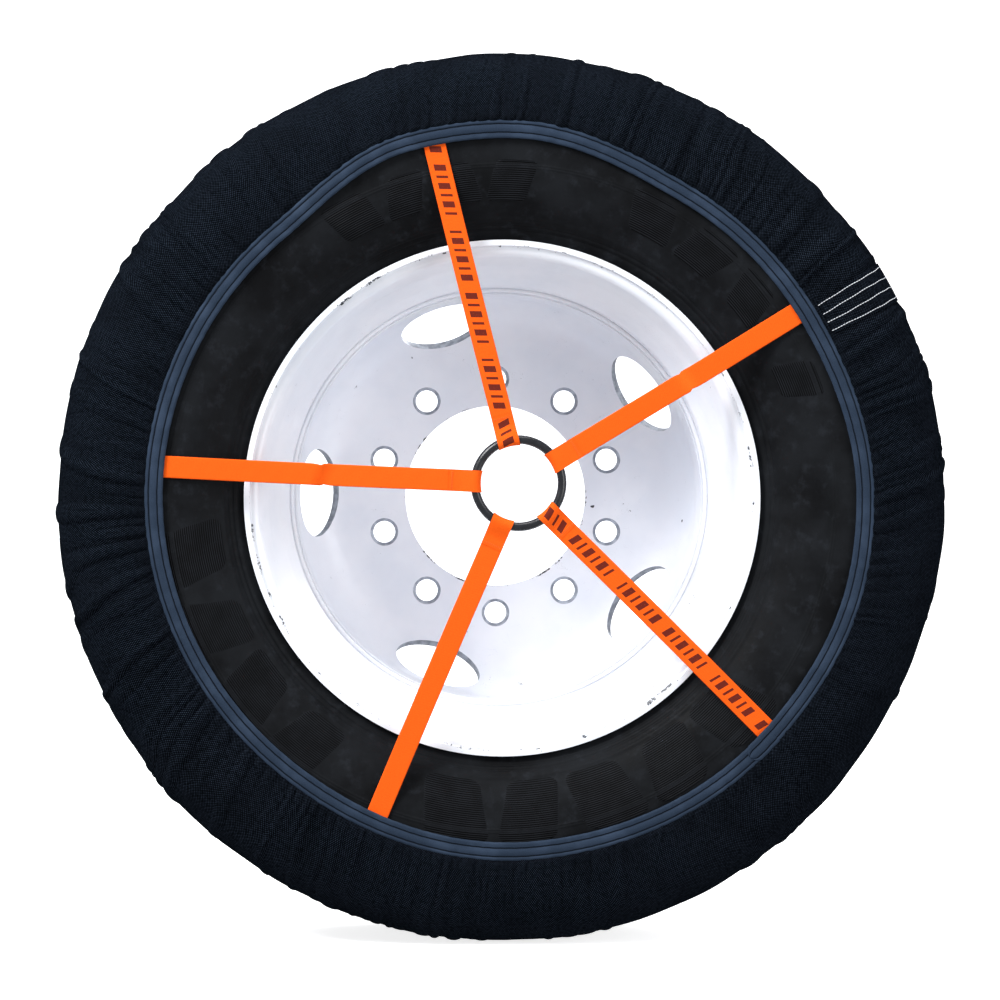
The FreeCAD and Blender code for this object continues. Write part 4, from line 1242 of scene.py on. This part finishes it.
def stitch_tree():
    """Geometry nodes: a stitch laid at every Pitch along the run's edges, then one mesh."""
    tree = bpy.data.node_groups.new("stitch run", "GeometryNodeTree")
    face = tree.interface
    face.new_socket("Geometry", in_out="INPUT", socket_type="NodeSocketGeometry")
    for label in ("Pitch", "Stitch Length", "Thread Radius"):
        face.new_socket(label, in_out="INPUT", socket_type="NodeSocketFloat")
    face.new_socket("Thread", in_out="INPUT", socket_type="NodeSocketMaterial")
    face.new_socket("Geometry", in_out="OUTPUT", socket_type="NodeSocketGeometry")
    entry = add(tree, "NodeGroupInput")
    run = add(tree, "GeometryNodeMeshToCurve", {"Mesh": entry.outputs["Geometry"]})
    spots = add(tree, "GeometryNodeResampleCurve", {"Curve": run.outputs[0]})
    if hasattr(spots, "mode"):
        spots.mode = "LENGTH"
    tree.links.new(entry.outputs["Pitch"], spots.inputs["Length"])
    heading = add(tree, "GeometryNodeInputTangent")
    turned = add(tree, "FunctionNodeAlignRotationToVector", {"Vector": heading.outputs[0]}, axis="X")
    bead = add(tree, "GeometryNodeMeshUVSphere", {"Segments": 8, "Rings": 6, "Radius": 1.0})
    half = add(tree, "ShaderNodeMath", {0: entry.outputs["Stitch Length"], 1: 0.5}, operation="MULTIPLY").outputs[0]
    size = add(
        tree, "ShaderNodeCombineXYZ", {0: half, 1: entry.outputs["Thread Radius"], 2: entry.outputs["Thread Radius"]}
    )
    laid = add(
        tree, "GeometryNodeInstanceOnPoints",
        {
            "Points": spots.outputs[0], "Instance": bead.outputs[0], "Rotation": turned.outputs[0],
            "Scale": size.outputs[0]
        }
    )
    real = add(tree, "GeometryNodeRealizeInstances", {0: laid.outputs[0]})
    dyed = add(tree, "GeometryNodeSetMaterial", {"Geometry": real.outputs[0], "Material": entry.outputs["Thread"]})
    add(tree, "NodeGroupOutput", {0: dyed.outputs[0]})
    return tree


STITCH_RUN = stitch_tree()


def stitches(name, runs, pitch, length, radius, material, body, node=None):
    """Rows of stitches along runs of points, as one piece. Sizes in mm, points in metres."""
    vertices, edges = [], []
    for run, closed in runs:
        base = len(vertices)
        vertices += [tuple(p) for p in run]
        edges += [(base + i, base + i + 1) for i in range(len(run) - 1)]
        if closed:
            edges.append((base + len(run) - 1, base))
    mesh = bpy.data.meshes.new(name)
    mesh.from_pydata(vertices, edges, [])
    made = bpy.data.objects.new(name, mesh)
    bpy.context.scene.collection.objects.link(made)
    sewing = made.modifiers.new("stitches", "NODES")
    sewing.node_group = STITCH_RUN
    keys = {s.name: s.identifier for s in STITCH_RUN.interface.items_tree if s.in_out == "INPUT"}
    for label, value in (
        ("Pitch", pitch * MM), ("Stitch Length", length * MM), ("Thread Radius", radius * MM), ("Thread",
        material)
    ):
        sewing[keys[label]] = value
    plain(made)
    made.data.shade_smooth()
    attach(made, body)
    if node:
        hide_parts(node)
    return made


turn = np.linspace(0, 2 * np.pi, 1440, endpoint=False)
tape_rows = []
for inset, rise in ((4.6, 0.75), (14.3, 0.75)):
    radius = opening_radius(turn) + TAPE_WIDTH - inset
    depth = np.full_like(radius, BINDING_MIDDLE - rise - 0.25)
    tape_rows.append((np.stack([radius * np.cos(turn), depth, radius * np.sin(turn)], -1) * MM, True))
stitches("tape_stitches", tape_rows, 3.2, 2.9, 0.6, dark_thread, "sock", "binding_stitches")
hem_rows = []
for inset in (4.6, 14.3):
    radius = np.full_like(turn, hem_radius + TAPE_WIDTH - inset)
    depth = np.full_like(turn, HEM_MIDDLE + 1.0)
    hem_rows.append((np.stack([radius * np.cos(turn), depth, radius * np.sin(turn)], -1) * MM, True))
stitches("hem_stitches", hem_rows, 3.2, 2.9, 0.6, dark_thread, "sock")

# ================================================================ closing seam
# The strip's two ends overlap in a flat band from one tape to the other, held by four rows of white stitching.
SEAM_RISE = 1.6


def seam_outline(lift):
    """The cloth's path across the wheel at the seam, raised by lift, as (radius, y) in mm."""
    turn = np.array([[math.radians(SEAM_MIDDLE)]])
    t = np.linspace(0, 1, 60)[None]
    runs = []
    for outline, keep in ((street_outline, t[:, 8:]), (tread_outline, t), (vehicle_outline, t[:, :-7])):
        radius, depth, out_r, out_y = outline(turn, keep)
        runs.append(np.stack([radius + out_r * lift, depth + out_y * lift], -1)[0])
    return np.concatenate(runs)


seam_path = seam_outline(SEAM_RISE)
seam_under = seam_outline(0.2)
seam_turn = np.radians(np.linspace(SEAM_MIDDLE - 2.75, SEAM_MIDDLE + 2.75, 22))
seam_points = []
for a in seam_turn:
    for line in (seam_path, seam_under):
        seam_points += [(r * math.cos(a) * MM, y * MM, r * math.sin(a) * MM) for r, y in line]
long_way = len(seam_path)
seam_faces = []
for i in range(len(seam_turn) - 1):
    for k in range(long_way - 1):
        a, b = i * 2 * long_way + k, (i + 1) * 2 * long_way + k
        seam_faces.append((a, a + 1, b + 1, b))
for i in (0, len(seam_turn) - 1):
    for k in range(long_way - 1):
        a = i * 2 * long_way + k
        edge_face = (a, a + 1, a + long_way + 1, a + long_way)
        seam_faces.append(edge_face if i else edge_face[::-1])
seam_band = add_object("closing_seam_band", seam_points, seam_faces, [cloth])
layer = seam_band.data.uv_layers.new(name="cut")
for loop in seam_band.data.loops:
    layer.data[loop.index].uv = (loop.vertex_index // (2 * long_way) * 0.0024, loop.vertex_index % long_way * 0.0026)
seam_band.data.set_sharp_from_angle(angle=math.radians(50))
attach(seam_band, "sock")
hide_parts("closing_seam")
rows = []
stitch_path = seam_outline(SEAM_RISE + 0.25)
for degrees in (27.0, 28.5, 30.0, 31.5):
    way = np.arange(len(stitch_path))
    a = np.radians(degrees + 0.06 * np.sin(way * 0.13 + degrees) + 0.03 * np.sin(way * 0.47 + 2 * degrees))
    rows.append(
        (np.stack([stitch_path[:, 0] * np.cos(a), stitch_path[:, 1], stitch_path[:, 0] * np.sin(a)], -1) * MM, False)
    )
stitches("seam_thread", rows, 3.6, 3.3, 0.42, white_thread, "sock", "seam_stitches")

# ================================================================ straps
# Orange woven elastic 25 mm wide with fine lengthwise ribs, stretched from the tape to the ring. Two of the five are
# printed with a row of plain slanted marks.
STRAP_WIDTH, STRAP_WALL = 25.0, 1.5
RING_LOW, RING_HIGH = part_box("centre_ring")
RING_CENTRE = (RING_LOW + RING_HIGH) / 2
STRAP_ANGLES = (103.96, 31.4, 177.3, 246.9, 315.1)
TAIL_END = 80.0
PINCH_PLACE = 0.226  # from the ring's centre: two straps are slightly twisted there


def elastic(name, printed):
    """Ribbed orange elastic; printed adds slanted bars in dark ink, broad and narrow in turn, six and a gap."""
    material, tree, shader = new_material(name)
    run = add(tree, "ShaderNodeUVMap", uv_map="run").outputs[0]
    split = add(tree, "ShaderNodeSeparateXYZ", {0: run})
    along, across = split.outputs[0], split.outputs[1]
    rib = add(
        tree, "ShaderNodeMath", {0: add(tree, "ShaderNodeMath", {0: across, 1: 0.0006}, operation="DIVIDE"), 1: 1.0},
        operation="PINGPONG"
    ).outputs[0]
    pick = add(
        tree, "ShaderNodeMath", {0: add(tree, "ShaderNodeMath", {0: along, 1: 0.0005}, operation="DIVIDE"), 1: 1.0},
        operation="PINGPONG"
    ).outputs[0]
    fibre = add(tree, "ShaderNodeTexNoise", {"Vector": run, "Scale": 500.0, "Detail": 3.0}).outputs[0]
    knit = add(
        tree, "ShaderNodeMath",
        {
            0: add(tree, "ShaderNodeMath", {0: rib, 1: 0.8}, operation="MULTIPLY"),
            1: add(tree, "ShaderNodeMath", {0: pick, 1: 0.3}, operation="MULTIPLY")
        },
        operation="ADD"
    ).outputs[0]
    shade = add(
        tree, "ShaderNodeMath", {0: knit, 1: add(tree, "ShaderNodeMath", {0: fibre, 1: 0.4}, operation="MULTIPLY")},
        operation="ADD"
    ).outputs[0]
    colour = add(
        tree, "ShaderNodeMix",
        {
            0: add(
                tree, "ShaderNodeMapRange", {"Value": shade, "From Min": 0.1, "From Max": 1.3},
                interpolation_type="SMOOTHSTEP"
            ),
            6: linear("#DC430A"), 7: linear("#F4681A")
        },
        data_type="RGBA"
    ).outputs[2]
    if printed:
        cell = add(tree, "ShaderNodeMath", {0: along, 1: 0.0108}, operation="DIVIDE").outputs[0]
        index = add(tree, "ShaderNodeMath", {0: cell}, operation="FLOOR").outputs[0]
        high = add(tree, "ShaderNodeMath", {0: across, 1: 0.0066}, operation="DIVIDE").outputs[0]
        lean = add(
            tree, "ShaderNodeMath",
            {
                0: add(tree, "ShaderNodeMath", {0: cell}, operation="FRACT"),
                1: add(tree, "ShaderNodeMath", {0: high, 1: 0.16}, operation="MULTIPLY")
            },
            operation="ADD"
        ).outputs[0]
        lean = add(
            tree, "ShaderNodeMath", {0: add(tree, "ShaderNodeMath", {0: lean, 1: 0.5}, operation="SUBTRACT")},
            operation="ABSOLUTE"
        ).outputs[0]
        odd = add(tree, "ShaderNodeMath", {0: index, 1: 2.0}, operation="FLOORED_MODULO").outputs[0]
        broad = add(
            tree, "ShaderNodeMath", {0: 0.34, 1: add(tree, "ShaderNodeMath", {0: odd, 1: 0.2}, operation="MULTIPLY")},
            operation="SUBTRACT"
        ).outputs[0]
        ink = add(tree, "ShaderNodeMath", {0: lean, 1: broad}, operation="LESS_THAN").outputs[0]
        ink = add(
            tree, "ShaderNodeMath",
            {
                0: ink,
                1: add(
                    tree, "ShaderNodeMath", {0: add(tree, "ShaderNodeMath", {0: high}, operation="ABSOLUTE"), 1: 1.0},
                    operation="LESS_THAN"
                )
            },
            operation="MULTIPLY"
        ).outputs[0]
        ink = add(
            tree, "ShaderNodeMath",
            {
                0: ink,
                1: add(
                    tree, "ShaderNodeMath",
                    {0: add(tree, "ShaderNodeMath", {0: index, 1: 7.0}, operation="FLOORED_MODULO"), 1: 0.5},
                    operation="GREATER_THAN"
                )
            },
            operation="MULTIPLY"
        ).outputs[0]
        ink = add(
            tree, "ShaderNodeMath",
            {
                0: ink,
                1: add(
                    tree, "ShaderNodeMapRange",
                    {"Value": fibre, "From Min": 0.2, "From Max": 0.42, "To Min": 0.7, "To Max": 0.96},
                    interpolation_type="SMOOTHSTEP"
                )
            },
            operation="MULTIPLY"
        ).outputs[0]
        colour = add(tree, "ShaderNodeMix", {0: ink, 6: colour, 7: linear("#571F1A")}, data_type="RGBA").outputs[2]
    tree.links.new(colour, shader.inputs["Base Color"])
    shader.inputs["Roughness"].default_value = 0.68
    shader.inputs["Specular IOR Level"].default_value = 0.05
    bump = add(tree, "ShaderNodeBump", {"Height": knit, "Strength": 0.55, "Distance": 0.0003})
    tree.links.new(bump.outputs[0], shader.inputs["Normal"])
    return material


plain_elastic = elastic("woven elastic, orange, ribbed", False)
printed_elastic = elastic("woven elastic, orange, ribbed and printed", True)


def ribbon(name, centre, wide, up, run_lengths, material, wall=STRAP_WALL):
    """A flat band with rounded edges along centre points; wide and up are its directions at each. Metres."""
    half, thick = STRAP_WIDTH / 2 * MM, wall / 2 * MM
    section = [(-1.0, 0.0), (-0.985, 0.7), (-0.93, 1.0)] + [
        (s, 1.0) for s in np.linspace(-0.8, 0.8, 9)
    ] + [(0.93, 1.0), (0.985, 0.7), (1.0, 0.0)]
    section += [(a, -b) for a, b in section[-2:0:-1]]
    vertices, faces = [], []
    for c, w, u in zip(centre, wide, up):
        for a, b in section:
            vertices.append(c + w * (a * half) + u * (b * thick))
    rows = len(section)
    for i in range(len(centre) - 1):
        for k in range(rows):
            m = (k + 1) % rows
            faces.append((i * rows + k, i * rows + m, (i + 1) * rows + m, (i + 1) * rows + k))
    faces.append(tuple(range(rows)))
    faces.append(tuple(range((len(centre) - 1) * rows, len(centre) * rows)))
    made = add_object(name, vertices, faces, [material])
    layer = made.data.uv_layers.new(name="run")
    for loop in made.data.loops:
        i, k = divmod(loop.vertex_index, rows)
        layer.data[loop.index].uv = (run_lengths[i], section[k][0] * half)
    outwards(made)
    made.data.set_sharp_from_angle(angle=math.radians(60))
    return made


for number, degrees in enumerate(STRAP_ANGLES, start=1):
    low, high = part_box("strap_%d" % number)
    way = Vector((math.cos(math.radians(degrees)), 0, math.sin(math.radians(degrees))))
    wide = Vector((-way.z, 0, way.x))
    plane = Vector((0, (low.y + high.y) / 2 - RING_CENTRE.y, 0))
    far = 0.3
    for _ in range(60):
        tip = RING_CENTRE + way * far
        reach = opening_radius(math.atan2(tip.z, tip.x)) + TAPE_WIDTH * 0.62
        far += (reach * MM - math.hypot(tip.x, tip.z)) * 0.7
    steps = 90
    centre, ups, sides, lengths = [], [], [], []
    for i in range(steps + 1):
        along = TAIL_END * MM + (far - TAIL_END * MM) * i / steps
        sway = 0.0006 * math.sin(math.pi * i / steps) * (1 if number % 2 else -1)
        pinch = math.exp(-(((along - PINCH_PLACE) / 0.007) ** 2)) if number in (2, 3) else 0.0
        sway += 0.0009 * pinch * math.copysign(1, along - PINCH_PLACE)
        centre.append(
            RING_CENTRE + plane + way * along + wide * sway + Vector((0, -0.0003 * math.sin(along * 31 + number), 0))
        )
        roll = 0.015 * math.sin(along * 14 + number) + 0.34 * pinch
        up = (Vector((0, -1, 0)) + wide * roll).normalized()
        ups.append(up)
        sides.append(way.cross(up).normalized())
        lengths.append(along)
    material = printed_elastic if number in (1, 5) else plain_elastic
    made = ribbon("elastic_strap_%d" % number, centre, sides, ups, lengths, material)
    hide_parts("strap_%d" % number)
    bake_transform(made)

# ================================================================ strap loops
# The same woven elastic as the straps: each end goes round the ring and back, and the tail is sewn down with a
# bar tack.
RING_MIDDLE, RING_SECTION = 50.0, 5.0
LOOP_MIDDLE = RING_SECTION + 0.3 + STRAP_WALL / 2
tacks = []
for number, degrees in enumerate(STRAP_ANGLES, start=1):
    way = Vector((math.cos(math.radians(degrees)), 0, math.sin(math.radians(degrees))))
    wide = Vector((-way.z, 0, way.x))
    front = Vector((0, -1, 0))
    # (distance from the ring's centre, height to the front) of the band's middle, from the strap round the ring to
    # the tail
    line = [(TAIL_END, 0.75), (68.5, 0.8), (62.0, 2.6), (56.0, 4.9), (51.5, LOOP_MIDDLE)]
    line += [
        (RING_MIDDLE + LOOP_MIDDLE * math.cos(a), LOOP_MIDDLE * math.sin(a))
        for a in np.radians(np.arange(105, 256, 15))
    ]
    line += [(51.5, -LOOP_MIDDLE), (56.0, -4.9), (62.0, -2.6), (68.5, -0.85), (TAIL_END - 1.5, -0.8)]
    line = smooth_path(line, 3)
    slope = np.gradient(line, axis=0)
    slope /= np.linalg.norm(slope, axis=1)[:, None]
    run = np.concatenate([[0], np.cumsum(np.linalg.norm(np.diff(line, axis=0), axis=1))]) * MM
    shares = np.linspace(-1, 1, 13)
    section = [(s, 1.0) for s in shares] + [(s, -1.0) for s in shares[::-1]]
    vertices, faces = [], []
    for (u, h), (du, dh) in zip(line, slope):
        for share, layer_side in section:
            v = share * STRAP_WIDTH / 2
            hug = math.sqrt(RING_MIDDLE**2 - v * v) - RING_MIDDLE
            hug *= max(0.0, min(1.0, (66.0 - u) / 12.0))
            lift = layer_side * STRAP_WALL / 2
            along, rise = u + hug - dh * lift, h + du * lift
            vertices.append(RING_CENTRE + way * (along * MM) + wide * (v * MM) + front * (rise * MM))
    rows = len(section)
    for i in range(len(line) - 1):
        for k in range(rows):
            m = (k + 1) % rows
            faces.append((i * rows + k, i * rows + m, (i + 1) * rows + m, (i + 1) * rows + k))
    faces.append(tuple(range(rows)))
    faces.append(tuple(range((len(line) - 1) * rows, len(line) * rows)))
    material = printed_elastic if number in (1, 5) else plain_elastic
    made = add_object("sewn_loop_%d" % number, vertices, faces, [material])
    layer = made.data.uv_layers.new(name="run")
    for loop in made.data.loops:
        i, k = divmod(loop.vertex_index, rows)
        layer.data[loop.index].uv = (TAIL_END * MM - run[i], section[k][0] * STRAP_WIDTH / 2 * MM)
    outwards(made)
    made.data.set_sharp_from_angle(angle=math.radians(50))
    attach(made, "strap_loops")
    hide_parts("strap_loop_%d" % number)
    for row in (76.0, 77.2):
        tacks.append(
            (
                [
                    RING_CENTRE + way * (row * MM) + wide * (s * 9.5 * MM) + front * (1.65 * MM)
                    for s in np.linspace(-1, 1, 9)
                ],
                False
            )
        )
orange_thread = thread("orange polyester thread, twisted", "#C9430D", "#FF8A3F")
stitches("loop_tacks", tacks, 1.9, 1.8, 0.32, orange_thread, "strap_loops", "loop_stitches")

# ================================================================ centre ring
# Moulded rubber pull ring, held only by the strap loops. Glossy, with a faint parting line round its outside where
# the mould closed.
gloss, tree, shader = new_material("moulded rubber, glossy black")
_, place, _ = radius_of(tree)
streak = add(tree, "ShaderNodeTexNoise", {"Vector": place, "Scale": 120.0, "Detail": 4.0}).outputs[0]
tree.links.new(
    add(tree, "ShaderNodeMix", {0: streak, 6: linear("#07080B"), 7: linear("#15181F")}, data_type="RGBA").outputs[2],
    shader.inputs["Base Color"]
)
tree.links.new(
    add(
        tree, "ShaderNodeMapRange",
        {"Value": streak, "From Min": 0.3, "From Max": 0.7, "To Min": 0.2, "To Max": 0.36},
        interpolation_type="SMOOTHSTEP"
    ).outputs[0],
    shader.inputs["Roughness"]
)
bump = add(tree, "ShaderNodeBump", {"Height": streak, "Strength": 0.12, "Distance": 0.0003})
tree.links.new(bump.outputs[0], shader.inputs["Normal"])
vertices, faces = [], []
big, small = 200, 36
for i in range(big):
    a = 2 * math.pi * i / big
    for k in range(small):
        b = 2 * math.pi * k / small
        size = RING_SECTION - 0.02 + (0.12 if k == 0 else 0.0)
        out = RING_MIDDLE + size * math.cos(b)
        vertices.append(RING_CENTRE + Vector((out * math.cos(a), size * math.sin(b), out * math.sin(a))) * MM)
        faces.append(
            (
                i * small + k, i * small + (k + 1) % small, (i + 1) % big * small + (k + 1) % small,
                (i + 1) % big * small + k
            )
        )
pull_ring = outwards(add_object("pull_ring", vertices, faces, [gloss]))
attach(pull_ring, "ring")
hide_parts("centre_ring")
